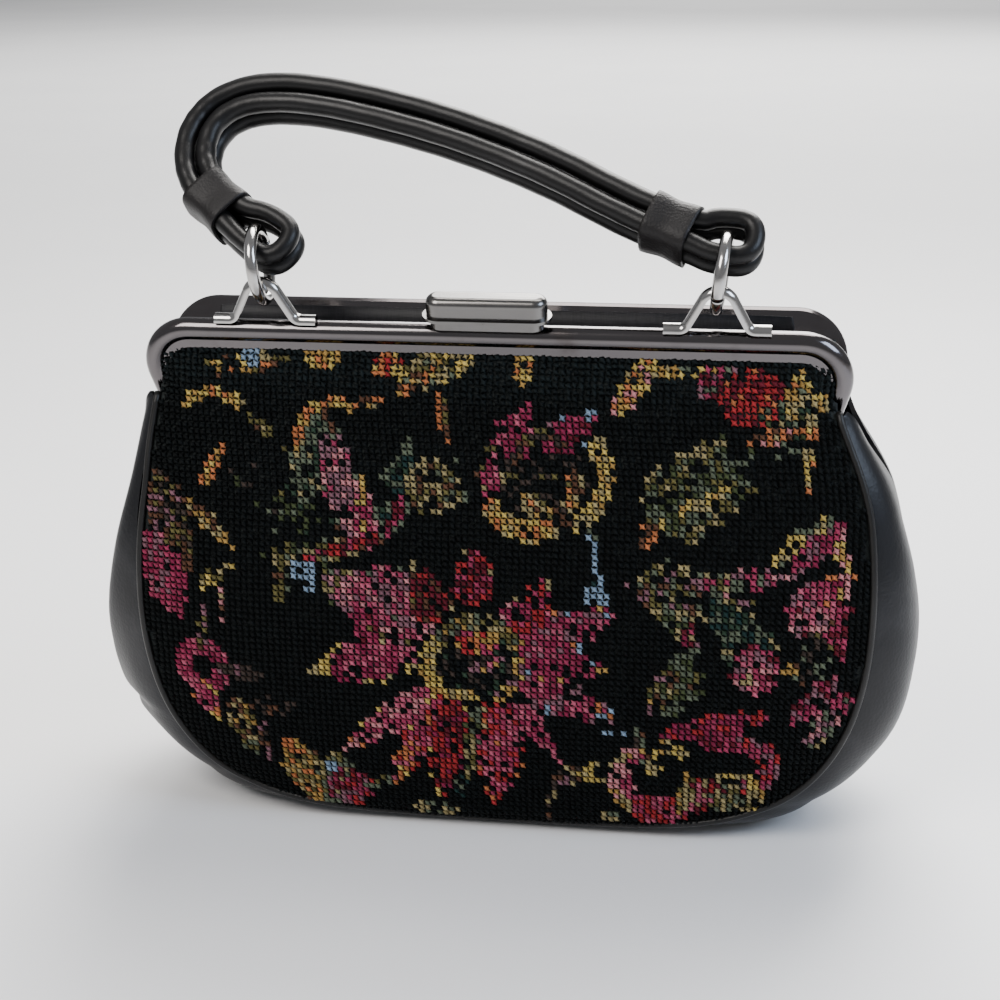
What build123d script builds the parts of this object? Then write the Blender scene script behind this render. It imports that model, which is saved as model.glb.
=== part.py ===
from build123d import *
import math
import os

# A framed tapestry handbag: a soft pouch of two tapestry panels and one leather gusset,
# hung in a two-leaf pressed-metal frame that opens on a rivet at each side.
# Millimetres, +Z up. The origin is on the floor under the middle of the bag, -Y is the front.

# ---- driving dimensions ------------------------------------------------------------

HINGE_Z = 116.0          # height of the side rivets' axis
LEAF_RISE = 61.5         # from the rivet axis up to the top of the rail
LEAF_TILT = 14.4         # each leaf's lean from upright, as the mouth stands ajar
LEAF_HALF_TOP = 121.8    # half width where the leg's line would meet the rail's line
LEAF_HALF_FOOT = 108.5   # half width at the foot of the leg
LEAF_FOOT = 8.0          # where the channel stops above the rivet axis
LEAF_CORNER = 17.0       # outer corner radius
LEAF_GAP = 0.15          # half the gap left between the two leaves when shut
RAIL_DEEP = 9.3          # bead and lip together
BEAD_DEEP = 6.4          # the half-round bead alone
BEAD_OUT = 6.1           # how far the bead stands out from the mating plane
LIP_OUT = 5.0
SLOT_IN, SLOT_OUT, SLOT_TOP = 1.25, 3.9, 4.0
RAIL_MID = 3.2           # middle of the rail, out from the mating plane
CROWN = LEAF_RISE + 0.27 # the bead's highest line

TAB_THICK = 1.4
TAB_RADIUS = 4.0
FRONT_TAB_X = 105.1      # inner face of the front leaf's hinge tab
REAR_TAB_X = 103.6
RIVET_RADIUS = 1.5
RIVET_PLAY = 0.06
RIVET_HEAD_RADIUS = 2.7
RIVET_HEAD_THICK = 1.0

LUG_X = 73.4             # the two handle lugs, left and right of the middle
LUG_HALF = 17.0
LUG_BEND = 9.5           # where the foot turns up into the arch
LUG_APEX = 18.5
LUG_ARCH_RISE = 13.5     # underside of the arch above the rail
LUG_STRIP_RADIUS = 2.5
LUG_STRIP_WALL = 0.8

RING_RADIUS = 11.4
RING_WIRE = 2.0
RING_BACK = 30.0         # the rings lean back this far
RING_SPLAY = 7.0         # and splay outwards this far
RING_HANG = 6.5          # from the lug's arch to the ring's centre

HANDLE_BACK = 40.0       # the handle's plane leans back this far
TUBE_RADIUS = 3.45
TUBE_HALF_PITCH = 3.7    # the front and rear tubes lie this far each side of the plane
STRAND_HALF_PITCH = 3.8  # and each tube's two strands this far each side of the line
EYE_RADIUS = 6.6
EYE_RIGHT = (77.5, 10.8)
EYE_LEFT = (-71.4, 8.5)
EYE_RIGHT_DROP = 6.0     # each eye points down by this angle
EYE_LEFT_DROP = 35.0
EYE_NECK = 6.2           # from an eye's centre back to where its strands draw together
COLLAR_WALL = 1.0
COLLAR_PLAY = 0.6
COLLAR_LENGTH = 15.0
COLLAR_START = 1.5       # from the end of the handle's line
# The handle's own line in its plane, from the left eye over the hand's bow to the right eye.
HANDLE_LINE = ((-84.0, 15.8), (-98.0, 28.0), (-102.0, 43.0), (-97.0, 56.5), (-83.0, 63.5),
               (-58.0, 62.0), (-22.0, 52.5), (14.0, 38.5), (44.0, 21.5), (66.0, 12.0))

BAR_LONG, BAR_DEEP, BAR_TALL = 42.0, 11.6, 7.6
BAR_RISE = 3.2           # underside of the bar above the rail's crown
BAR_OUT = 3.0            # middle of the bar, out from the mating plane
BAR_RIM = 1.0
BAR_RIM_STEP = 1.3
BAR_WALL = 0.9
BAR_ROUND = 2.6          # rounding of the bar's top edge
BASE_LONG, BASE_DEEP, BASE_TALL = 37.0, 8.0, 2.6
BASE_WALL = 0.8
BAR_PIN_RADIUS = 0.7
BAR_PIN_OUT = 5.0        # the bar's pin, out from the mating plane
BAR_PIN_RISE = 4.7       # and above the crown
BAR_PIN_HALF = 16.4
EAR_X, EAR_THICK, EAR_RADIUS = 15.0, 1.2, 1.2
CHEEK_X = 12.5
SPRING_TURNS, SPRING_PITCH, SPRING_RADIUS, SPRING_WIRE = 6, 0.7, 1.15, 0.22
CATCH_X = 2.0
CATCH_WIDE, CATCH_TALL = 5.0, 2.4
CATCH_IN, CATCH_OUT = 1.0, 2.2
CATCH_SLIT = (1.0, 1.2)
NIB_WIDE, NIB_THICK, NIB_TALL = 4.0, 0.4, 1.4

WALL = 2.2               # tapestry and leather
LINING_GAP, LINING_WALL = 0.4, 0.7
PANEL_TOP = 164.2
PANEL_HALF_WIDTH = 122.0
PANEL_MID_Z = 84.0
PANEL_FOOT = 2.6
PANEL_SHOULDER = (101.5, 175.0)
PANEL_EDGE = ((105.0, 152.0), (112.5, 143.0), (119.5, 118.0), (122.0, 84.0), (117.0, 48.0),
              (100.0, 18.0), (64.0, 5.0))
GUSSET_TOP = 151.0
GUSSET_DIP_HALF = 30.0   # the gusset's top edge falls from here to the rivet
GUSSET_DIP_RISE = 3.0    # its lowest place, above the rivet axis
LINING_PROUD = 2.0       # the lining's edge stands this far above the gusset's
SEAM_GAP = 0.15
PIPING_RADIUS = 1.3
PIPING_PROUD = 0.5       # the cord's middle, out from the leather
# The seam's line seen square on, from its upper end to the middle of the bag's foot.
PIPING_LINE = ((111.5, 146.0), (117.0, 128.0), (120.6, 108.0), (122.1, 86.0), (120.8, 64.0),
               (116.2, 45.0), (107.5, 28.0), (94.0, 15.0), (74.0, 7.5), (48.0, 4.3), (16.0, 3.2))
ARC_SHARE = 0.47         # share of a run that the arc at its end may take
BOARD_LONG, BOARD_DEEP, BOARD_CORNER = 150.0, 46.0, 12.0
BOARD_THICK = 1.6
BOARD_GAP = 0.2

# The pouch's outline at each height: half width, half depth, squareness of the corners.
POUCH_RINGS = (
    (0.0, 84.0, 29.0, 3.4),
    (4.0, 99.0, 35.5, 3.8),
    (14.0, 114.0, 39.5, 4.4),
    (34.0, 130.0, 42.5, 5.0),
    (66.0, 139.0, 44.0, 5.0),
    (96.0, 136.5, 41.5, 5.2),
    (126.0, 128.0, 33.5, 6.0),
    (151.0, 119.5, 23.0, 7.0),
    (168.0, 117.0, 17.0, 10.0),
)
BELLY_Z = 66.0           # height of the fullest ring
RING_POINTS = 40

os.makedirs("parts", exist_ok=True)


# ---- the frames of reference ------------------------------------------------------

def direction(degrees):
    """Unit vector in the YZ plane, leaning back from upright by this angle."""
    return Vector(0, math.sin(math.radians(degrees)), math.cos(math.radians(degrees)))


HINGE = Vector(0, 0, HINGE_Z)
FRONT_UP = direction(-LEAF_TILT)
FRONT_OUT = Vector(1, 0, 0).cross(FRONT_UP)
REAR_UP = direction(LEAF_TILT)
REAR_OUT = Vector(-1, 0, 0).cross(REAR_UP)
# In a leaf's plane, x runs across, y runs up from the rivet axis, and z is out of the bag.
FRONT_LEAF = Plane(origin=HINGE, x_dir=(1, 0, 0), z_dir=FRONT_OUT)
REAR_LEAF = Plane(origin=HINGE, x_dir=(-1, 0, 0), z_dir=REAR_OUT)

LUG_PIVOT = FRONT_LEAF.from_local_coords((0, CROWN + LUG_ARCH_RISE, RAIL_MID))
RING_CENTRE = LUG_PIVOT + direction(RING_BACK) * RING_HANG
HANDLE_UP = direction(HANDLE_BACK)
HANDLE_NORMAL = Vector(1, 0, 0).cross(HANDLE_UP)
HANDLE_PLANE = Plane(origin=RING_CENTRE, x_dir=(1, 0, 0), z_dir=HANDLE_NORMAL)
BAR_PIN = FRONT_LEAF.from_local_coords((0, CROWN + BAR_PIN_RISE, BAR_PIN_OUT))


def finish(part, name):
    """Name a sub-part and write its STEP file."""
    part.label = name
    export_step(part, f"parts/{name}.step")


# ---- the pouch ----------------------------------------------------------------------

def pouch_ring(half_width, half_depth, squareness):
    """Points of a superellipse, evenly spread by angle."""
    power = 2.0 / squareness
    points = []
    for step in range(RING_POINTS):
        angle = 2 * math.pi * (step + 0.5) / RING_POINTS
        c, s = math.cos(angle), math.sin(angle)
        x = math.copysign(abs(c) ** power, c) * half_width
        y = math.copysign(abs(s) ** power, s) * half_depth
        points.append((x, y))
    return points


def pouch_solid(inset, floor):
    """The pouch's outer form, drawn in by inset all round and starting at floor."""
    with BuildPart() as blank:
        for z, half_width, half_depth, squareness in POUCH_RINGS:
            with BuildSketch(Plane.XY.offset(z + floor * max(0.0, 1 - z / BELLY_Z))):
                with BuildLine():
                    Spline(pouch_ring(half_width - inset, half_depth - inset, squareness), periodic=True)
                make_face()
        loft()
    return blank.part


def panel_outline(grow):
    """One tapestry panel, seen square on, grown by about this margin all round."""
    wider = 1 + grow / PANEL_HALF_WIDTH
    taller = 1 + grow / PANEL_MID_Z

    def place(x, z):
        return (x * wider, PANEL_MID_Z + (z - PANEL_MID_Z) * taller)

    right = [place(x, z) for x, z in PANEL_EDGE]
    left = [(-x, z) for x, z in reversed(right)]
    with BuildSketch(Plane.XZ) as outline:
        with BuildLine():
            top_right, top_left = place(*PANEL_SHOULDER), place(-PANEL_SHOULDER[0], PANEL_SHOULDER[1])
            Polyline(right[0], top_right, top_left, left[-1])
            Spline(*right, place(0.0, PANEL_FOOT), *left)
        make_face()
    return outline.sketch


POUCH_OUTER = pouch_solid(0.0, 0.0)
POUCH_INNER = pouch_solid(WALL, WALL)
PANEL_FACE = panel_outline(0.0)
PANEL_ROOM = panel_outline(SEAM_GAP)
# Reaches past the bag, for cuts: in depth, in half width and in height.
SPAN, BEYOND, ABOVE = 60.0, 150.0, 180.0


def tapestry_panel(side):
    """One panel: the pouch's wall inside the panel outline, on the side that side points to."""
    with BuildPart() as panel:
        add(POUCH_OUTER)
        add(POUCH_INNER, mode=Mode.SUBTRACT)
        extrude(PANEL_FACE, amount=SPAN * side, mode=Mode.INTERSECT)
        with BuildSketch(Plane.XY.offset(PANEL_TOP)):
            Rectangle(2 * BEYOND, 2 * SPAN)
        extrude(amount=SPAN, mode=Mode.SUBTRACT)
    return panel.part


finish(tapestry_panel(1), "front_panel")
finish(tapestry_panel(-1), "back_panel")


def mouth_cut(higher):
    """What is cut off the top: a V between the leaf legs, down to the rivets."""
    half, low, high = GUSSET_DIP_HALF, HINGE_Z + GUSSET_DIP_RISE + higher, GUSSET_TOP + higher
    with BuildPart() as cut:
        with BuildSketch(Plane.YZ):
            Polygon((0, low), (half, high), (half, ABOVE), (-half, ABOVE), (-half, high), align=None)
        extrude(amount=BEYOND, both=True)
    return cut.part


with BuildPart() as gusset:
    add(POUCH_OUTER)
    add(POUCH_INNER, mode=Mode.SUBTRACT)
    extrude(PANEL_ROOM, amount=SPAN, both=True, mode=Mode.SUBTRACT)
    add(mouth_cut(0.0), mode=Mode.SUBTRACT)
finish(gusset.part, "gusset")


def pouch_depth(x, z):
    """Half depth of the pouch at this place on its front, between the rings above and below."""
    for low, high in zip(POUCH_RINGS, POUCH_RINGS[1:]):
        if low[0] <= z <= high[0]:
            share = (z - low[0]) / (high[0] - low[0])
            half_width, half_depth, squareness = (a + (b - a) * share for a, b in zip(low[1:], high[1:]))
            return half_depth * (1 - abs(x / half_width) ** squareness) ** (1 / squareness)
    return 0.0


def largest_radii(points, closed):
    """For each corner of a route, the largest arc that its two runs allow."""
    radii = []
    for index in range(len(points)) if closed else range(1, len(points) - 1):
        here = Vector(*points[index])
        back = Vector(*points[index - 1]) - here
        ahead = Vector(*points[(index + 1) % len(points)]) - here
        turn = math.radians(180 - back.get_angle(ahead))
        radii.append(ARC_SHARE * min(back.length, ahead.length) / math.tan(turn / 2))
    return radii


def piping(side):
    """The cord sewn into the seam round one panel."""
    right = [(x, z) for x, z in PIPING_LINE]
    seam = right + [(-x, z) for x, z in reversed(right)]
    points = [(x, -side * (pouch_depth(x, z) + PIPING_PROUD), z) for x, z in seam]
    with BuildPart() as cord:
        with BuildLine() as route:
            FilletPolyline(*points, radius=largest_radii(points, False))
        with BuildSketch(Plane(origin=route.wire() @ 0, z_dir=route.wire() % 0)):
            Circle(PIPING_RADIUS)
        sweep(path=route.wire())
    return cord.part


finish(piping(1), "front_piping")
finish(piping(-1), "back_piping")

with BuildPart() as base_board:
    with BuildSketch(Plane.XY.offset(WALL + BOARD_GAP)):
        RectangleRounded(BOARD_LONG, BOARD_DEEP, BOARD_CORNER)
    extrude(amount=BOARD_THICK)
finish(base_board.part, "base_board")

with BuildPart() as lining:
    add(pouch_solid(WALL + LINING_GAP, WALL + BOARD_THICK + LINING_GAP))
    add(pouch_solid(WALL + LINING_GAP + LINING_WALL, WALL + BOARD_THICK + LINING_GAP + LINING_WALL),
        mode=Mode.SUBTRACT)
    add(mouth_cut(LINING_PROUD), mode=Mode.SUBTRACT)
finish(lining.part, "lining")


# ---- the frame ----------------------------------------------------------------------

def frame_leaf(leaf, tab_x):
    """One leaf: a pressed channel with a half-round bead and a lip, and a flat hinge tab a side."""
    with BuildPart() as part:
        with BuildLine(leaf) as outline:
            FilletPolyline((-LEAF_HALF_FOOT, LEAF_FOOT), (-LEAF_HALF_TOP, LEAF_RISE),
                           (LEAF_HALF_TOP, LEAF_RISE), (LEAF_HALF_FOOT, LEAF_FOOT), radius=LEAF_CORNER)
        path = outline.wire()
        with BuildSketch(Plane(origin=path @ 0, x_dir=leaf.z_dir, z_dir=path % 0)):
            with BuildLine():
                ThreePointArc((1.2, 0.0), (BEAD_OUT, 2.6), (LIP_OUT, BEAD_DEEP))
                Polyline((LIP_OUT, BEAD_DEEP), (LIP_OUT, RAIL_DEEP), (SLOT_OUT, RAIL_DEEP),
                         (SLOT_OUT, SLOT_TOP), (SLOT_IN, SLOT_TOP), (SLOT_IN, RAIL_DEEP),
                         (LEAF_GAP, RAIL_DEEP), (LEAF_GAP, 1.0), (1.2, 0.0))
            make_face()
        sweep(path=path)
        for side in (-1, 1):
            face_x = leaf.x_dir.X * side * (tab_x + TAB_THICK / 2)
            tab_plane = Plane(origin=HINGE + Vector(face_x, 0, 0), x_dir=leaf.z_dir, z_dir=(1, 0, 0))
            up = 1 if tab_plane.y_dir.dot(leaf.y_dir) > 0 else -1
            with BuildSketch(tab_plane):
                with BuildLine():
                    ThreePointArc((-1.0, TAB_RADIUS * 0.97 * up), (0.0, -TAB_RADIUS * up), (TAB_RADIUS, 0.0))
                    Polyline((TAB_RADIUS, 0.0), (LIP_OUT, (LEAF_FOOT + 4) * up), (0.4, (LEAF_FOOT + 4) * up),
                             (0.4, (LEAF_FOOT - 1) * up), (-1.0, TAB_RADIUS * 0.97 * up))
                make_face()
                Circle(RIVET_RADIUS + RIVET_PLAY, mode=Mode.SUBTRACT)
            extrude(amount=TAB_THICK / 2, both=True)
    return part.part


FRONT_FRAME = frame_leaf(FRONT_LEAF, FRONT_TAB_X)
REAR_FRAME = frame_leaf(REAR_LEAF, REAR_TAB_X)
finish(FRONT_FRAME, "front_frame")
finish(REAR_FRAME, "rear_frame")

for name, side in (("left_hinge_rivet", -1), ("right_hinge_rivet", 1)):
    inner = REAR_TAB_X - RIVET_PLAY
    outer = FRONT_TAB_X + TAB_THICK + RIVET_PLAY
    with BuildPart() as rivet:
        with BuildSketch(Plane.YZ.offset(side * inner)):
            with Locations((0, HINGE_Z)):
                Circle(RIVET_RADIUS)
        extrude(amount=side * (outer - inner))
        for face_x, thick in ((inner, -RIVET_HEAD_THICK), (outer, RIVET_HEAD_THICK)):
            with BuildSketch(Plane.YZ.offset(side * face_x)):
                with Locations((0, HINGE_Z)):
                    Circle(RIVET_HEAD_RADIUS)
            extrude(amount=side * thick)
    finish(rivet.part, name)


# ---- lugs, rings and handle ---------------------------------------------------------

for name, side in (("left_lug", -1), ("right_lug", 1)):
    centre = FRONT_LEAF.from_local_coords((side * LUG_X, CROWN, RAIL_MID))
    lug_plane = Plane(origin=centre, x_dir=(1, 0, 0), z_dir=FRONT_OUT)
    with BuildPart() as lug:
        with BuildLine(lug_plane) as saddle:
            FilletPolyline((-LUG_HALF, 0), (-LUG_BEND, 0), (0, LUG_APEX), (LUG_BEND, 0), (LUG_HALF, 0),
                           radius=(4.0, 4.3, 4.0))
        with BuildSketch(Plane(origin=saddle.wire() @ 0, x_dir=FRONT_OUT, z_dir=saddle.wire() % 0)) as strip:
            Circle(LUG_STRIP_RADIUS)
            Circle(LUG_STRIP_RADIUS - LUG_STRIP_WALL, mode=Mode.SUBTRACT)
            with Locations((0, LUG_STRIP_RADIUS)):
                Rectangle(4 * LUG_STRIP_RADIUS, 2 * LUG_STRIP_RADIUS, mode=Mode.SUBTRACT)
        sweep(path=saddle.wire())
    finish(lug.part, name)

for name, side in (("left_ring", -1), ("right_ring", 1)):
    pivot = LUG_PIVOT + Vector(side * LUG_X, 0, 0)
    splay = math.radians(RING_SPLAY) * side
    spoke = direction(RING_BACK) * math.cos(splay) + Vector(math.sin(splay), 0, 0)
    normal = Vector(1, 0, 0) * math.cos(splay) - direction(RING_BACK) * math.sin(splay)
    centre = pivot + spoke * RING_HANG
    with BuildPart() as ring:
        with BuildLine(Plane(origin=centre, x_dir=spoke, z_dir=normal)) as hoop:
            CenterArc((0, 0), RING_RADIUS, 0, 360)
        with BuildSketch(Plane(origin=hoop.wire() @ 0, x_dir=spoke, z_dir=hoop.wire() % 0)):
            Circle(RING_WIRE)
        sweep(path=hoop.wire())
    finish(ring.part, name)


def side_step(points, shift):
    """The same line moved sideways, to its left for a positive shift."""
    moved = []
    for index, (x, y) in enumerate(points):
        before = points[max(index - 1, 0)]
        after = points[min(index + 1, len(points) - 1)]
        run = Vector(after[0] - before[0], after[1] - before[1]).normalized()
        moved.append((x - run.Y * shift, y + run.X * shift))
    return moved


def eye_corners(centre, drop):
    """The four corners of an eye: neck, tip, tip, neck, starting on the upper side."""
    angle = math.radians(drop)
    along = (math.cos(angle), -math.sin(angle))
    across = (math.sin(angle), math.cos(angle))
    corners = []
    for forward, up in ((-EYE_NECK, 1), (EYE_RADIUS, 1), (EYE_RADIUS, -1), (-EYE_NECK, -1)):
        corners.append((centre[0] + along[0] * forward + across[0] * up * EYE_RADIUS,
                        centre[1] + along[1] * forward + across[1] * up * EYE_RADIUS))
    return corners


upper_strand = side_step(HANDLE_LINE, STRAND_HALF_PITCH)
lower_strand = side_step(HANDLE_LINE, -STRAND_HALF_PITCH)
right_eye = eye_corners(EYE_RIGHT, EYE_RIGHT_DROP)
left_eye = eye_corners(EYE_LEFT, EYE_LEFT_DROP)
# Over the top from left to right, round the right eye, back underneath, and round the left eye.
# At its left end the handle has turned over, so its upper strand meets the left eye's lower side.
handle_loop = upper_strand + right_eye + lower_strand[::-1] + left_eye
for name, lift in (("handle_front_tube", TUBE_HALF_PITCH), ("handle_rear_tube", -TUBE_HALF_PITCH)):
    with BuildPart() as tube:
        with BuildLine(HANDLE_PLANE.offset(lift)) as route:
            FilletPolyline(*handle_loop, radius=largest_radii(handle_loop, True), close=True)
        with BuildSketch(Plane(origin=route.wire() @ 0, x_dir=HANDLE_NORMAL, z_dir=route.wire() % 0)):
            Circle(TUBE_RADIUS)
        sweep(path=route.wire())
    finish(tube.part, name)

for name, end, inward in (("left_collar", HANDLE_LINE[0], HANDLE_LINE[1]),
                          ("right_collar", HANDLE_LINE[-1], HANDLE_LINE[-2])):
    start = HANDLE_PLANE.from_local_coords((*end, 0))
    run = (HANDLE_PLANE.from_local_coords((*inward, 0)) - start).normalized()
    tall = 2 * (STRAND_HALF_PITCH + TUBE_RADIUS + COLLAR_PLAY)
    deep = 2 * (TUBE_HALF_PITCH + TUBE_RADIUS + COLLAR_PLAY)
    with BuildPart() as collar:
        with BuildSketch(Plane(origin=start + run * COLLAR_START, x_dir=HANDLE_NORMAL, z_dir=run)):
            RectangleRounded(deep + 2 * COLLAR_WALL, tall + 2 * COLLAR_WALL, TUBE_RADIUS + COLLAR_WALL)
            RectangleRounded(deep, tall, TUBE_RADIUS, mode=Mode.SUBTRACT)
        extrude(amount=COLLAR_LENGTH)
    finish(collar.part, name)


# ---- the clasp ----------------------------------------------------------------------

def above_crown(rise, out):
    """A plane across the top of the front leaf: x along the rail, y towards the bag's middle."""
    return Plane(origin=FRONT_LEAF.from_local_coords((0, CROWN + rise, out)), x_dir=(1, 0, 0), z_dir=FRONT_UP)


def across_rail(x):
    """A plane square to the rail at x: its x runs out of the bag, its y runs down."""
    return Plane(origin=FRONT_LEAF.from_local_coords((x, CROWN, 0)), x_dir=FRONT_OUT, z_dir=(1, 0, 0))


DOWN = 1 if across_rail(0).y_dir.dot(FRONT_UP) < 0 else -1

with BuildPart() as clasp_base:
    with BuildSketch(above_crown(0, BAR_OUT)):
        SlotOverall(BASE_LONG, BASE_DEEP)
    extrude(amount=BASE_TALL)
    with BuildSketch(above_crown(BASE_WALL, BAR_OUT)):
        SlotOverall(BASE_LONG - 2 * BASE_WALL, BASE_DEEP - 2 * BASE_WALL)
    extrude(amount=BASE_TALL, mode=Mode.SUBTRACT)
    for x in (-EAR_X, EAR_X):
        with BuildSketch(across_rail(x)):
            with Locations((BAR_PIN_OUT, -DOWN * BAR_PIN_RISE)):
                Circle(EAR_RADIUS)
            with Locations((BAR_PIN_OUT, -DOWN * BAR_PIN_RISE / 2)):
                Rectangle(2 * EAR_RADIUS, BAR_PIN_RISE)
            with Locations((BAR_PIN_OUT, -DOWN * BAR_PIN_RISE)):
                Circle(BAR_PIN_RADIUS, mode=Mode.SUBTRACT)
        extrude(amount=EAR_THICK / 2, both=True)
finish(clasp_base.part, "clasp_base")

with BuildPart() as clasp_bar:
    with BuildSketch(above_crown(BAR_RISE, BAR_OUT)):
        SlotOverall(BAR_LONG, BAR_DEEP)
    extrude(amount=BAR_RIM)
    with BuildSketch(above_crown(BAR_RISE + BAR_RIM, BAR_OUT)):
        SlotOverall(BAR_LONG - 2 * BAR_RIM_STEP, BAR_DEEP - 2 * BAR_RIM_STEP)
    extrude(amount=BAR_TALL - BAR_RIM)
    fillet(clasp_bar.edges().group_by(Axis(origin=HINGE, direction=FRONT_UP))[-1], radius=BAR_ROUND)
    with BuildSketch(above_crown(BAR_RISE, BAR_OUT)):
        SlotOverall(BAR_LONG - 2 * (BAR_RIM_STEP + BAR_WALL), BAR_DEEP - 2 * (BAR_RIM_STEP + BAR_WALL))
    extrude(amount=BAR_TALL - 2 * BAR_WALL, mode=Mode.SUBTRACT)
    for x in (-CHEEK_X, CHEEK_X):
        with BuildSketch(across_rail(x)):
            with Locations((BAR_PIN_OUT, -DOWN * BAR_PIN_RISE)):
                Circle(EAR_RADIUS)
            with Locations((BAR_PIN_OUT, -DOWN * (BAR_PIN_RISE + BAR_RISE + BAR_TALL - BAR_WALL) / 2)):
                Rectangle(2 * EAR_RADIUS, BAR_RISE + BAR_TALL - BAR_WALL - BAR_PIN_RISE)
            with Locations((BAR_PIN_OUT, -DOWN * BAR_PIN_RISE)):
                Circle(BAR_PIN_RADIUS + RIVET_PLAY, mode=Mode.SUBTRACT)
        extrude(amount=EAR_THICK / 2, both=True)
    # The nib that drops behind the rear rail's catch.
    with BuildSketch(above_crown(BAR_RISE, 0)):
        with Locations((CATCH_X, BAR_DEEP / 2 - BAR_OUT - NIB_THICK / 2)):
            Rectangle(NIB_WIDE, NIB_THICK)
    extrude(amount=-NIB_TALL)
finish(clasp_bar.part, "clasp_bar")

with BuildPart() as clasp_pin:
    with BuildSketch(across_rail(-BAR_PIN_HALF)):
        with Locations((BAR_PIN_OUT, -DOWN * BAR_PIN_RISE)):
            Circle(BAR_PIN_RADIUS)
    extrude(amount=2 * BAR_PIN_HALF)
finish(clasp_pin.part, "clasp_pin")

with BuildPart() as clasp_spring:
    coil_start = BAR_PIN - Vector(SPRING_TURNS * SPRING_PITCH / 2, 0, 0)
    with BuildLine() as coil:
        Helix(pitch=SPRING_PITCH, height=SPRING_TURNS * SPRING_PITCH, radius=SPRING_RADIUS,
              center=coil_start, direction=(1, 0, 0))
    with BuildSketch(Plane(origin=coil.wire() @ 0, z_dir=coil.wire() % 0)):
        Circle(SPRING_WIRE)
    sweep(path=coil.wire(), is_frenet=True)
finish(clasp_spring.part, "clasp_spring")

with BuildPart() as catch_stud:
    with BuildSketch(REAR_LEAF.offset(CATCH_IN)):
        with Locations((-CATCH_X, CROWN + CATCH_TALL / 2)):
            Rectangle(CATCH_WIDE, CATCH_TALL)
            Rectangle(*CATCH_SLIT, mode=Mode.SUBTRACT)
    extrude(amount=CATCH_OUT - CATCH_IN)
finish(catch_stud.part, "catch_stud")
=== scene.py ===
# %% [markdown]
# # A framed tapestry handbag
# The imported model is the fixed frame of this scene: it says where every body, rivet and ring
# stands, in metres. It is loaded first, and each piece made here is put where the model says.
# The metal parts of the model have the right shape and only need a finish. The cloth and the
# leather are made new, because a soft thing needs folds, stitches and grain.

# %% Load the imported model
import math

import bpy
import numpy as np
from mathutils import Matrix, Vector


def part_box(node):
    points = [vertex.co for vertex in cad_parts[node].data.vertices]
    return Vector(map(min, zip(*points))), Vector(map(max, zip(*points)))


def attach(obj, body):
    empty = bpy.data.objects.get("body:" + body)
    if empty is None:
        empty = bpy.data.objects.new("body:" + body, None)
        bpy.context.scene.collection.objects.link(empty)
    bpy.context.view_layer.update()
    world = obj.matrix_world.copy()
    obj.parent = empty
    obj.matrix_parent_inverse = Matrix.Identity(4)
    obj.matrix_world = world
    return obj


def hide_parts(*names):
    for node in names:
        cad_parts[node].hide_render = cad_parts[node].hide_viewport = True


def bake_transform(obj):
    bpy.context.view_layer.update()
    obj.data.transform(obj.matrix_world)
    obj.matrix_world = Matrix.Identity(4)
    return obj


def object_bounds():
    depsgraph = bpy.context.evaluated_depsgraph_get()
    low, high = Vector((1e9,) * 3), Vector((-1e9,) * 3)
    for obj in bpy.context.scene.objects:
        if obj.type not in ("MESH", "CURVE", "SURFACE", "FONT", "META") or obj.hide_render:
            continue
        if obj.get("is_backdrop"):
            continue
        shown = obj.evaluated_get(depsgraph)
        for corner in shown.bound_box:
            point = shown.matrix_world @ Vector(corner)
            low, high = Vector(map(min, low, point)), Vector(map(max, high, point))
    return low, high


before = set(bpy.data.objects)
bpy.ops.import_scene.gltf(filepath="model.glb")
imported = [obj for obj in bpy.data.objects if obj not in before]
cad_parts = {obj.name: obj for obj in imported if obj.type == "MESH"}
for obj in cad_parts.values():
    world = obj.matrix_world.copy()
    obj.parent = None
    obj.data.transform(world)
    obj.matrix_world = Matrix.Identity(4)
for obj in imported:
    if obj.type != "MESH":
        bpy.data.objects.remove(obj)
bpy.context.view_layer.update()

MM = 0.001

# %% [markdown]
# ## Camera and light
# The camera stands a little to the right of the bag and looks down on it by twenty degrees.
# Big area lights stand in for a window and a white room: one over and behind the bag draws the
# bright lines along the metal, a weak one in front opens the black cloth, and a cool one on the
# right gives the leather its bluish edge. Two wide ones, far back, keep the floor behind it pale.
# The floor is a plain pale sheet that runs past the view.

# %% Camera
CAMERA_TURN, CAMERA_RISE, CAMERA_ROLL = 7.94, 20.05, -0.55
CAMERA_FAR = 546.1 * MM
CAMERA_AIM = Vector((1.0, 0.0, 108.7)) * MM
LENS_MM, SENSOR_MM = 56.56, 36.0


def ray(turn, rise):
    """Unit vector from the bag towards a place seen at this turn and rise, in degrees."""
    turn, rise = math.radians(turn), math.radians(rise)
    return Vector((math.sin(turn) * math.cos(rise), -math.cos(turn) * math.cos(rise), math.sin(rise)))


def looking(place, aim, roll=0.0):
    """A matrix that puts a camera or a lamp at place and points it at aim."""
    back = (place - aim).normalized()
    right = Vector((0, 0, 1)).cross(back).normalized()
    turn = Matrix((right, back.cross(right), back)).transposed().to_4x4()
    return Matrix.Translation(place) @ turn @ Matrix.Rotation(math.radians(roll), 4, "Z")


camera = bpy.data.objects.new("camera", bpy.data.cameras.new("camera"))
bpy.context.scene.collection.objects.link(camera)
camera.data.lens, camera.data.sensor_width = LENS_MM, SENSOR_MM
camera_place = CAMERA_AIM + ray(CAMERA_TURN, CAMERA_RISE) * CAMERA_FAR
camera.matrix_world = looking(camera_place, CAMERA_AIM, CAMERA_ROLL)
bpy.context.scene.camera = camera
print("camera in mm:", [round(part / MM) for part in camera.location])

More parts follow.
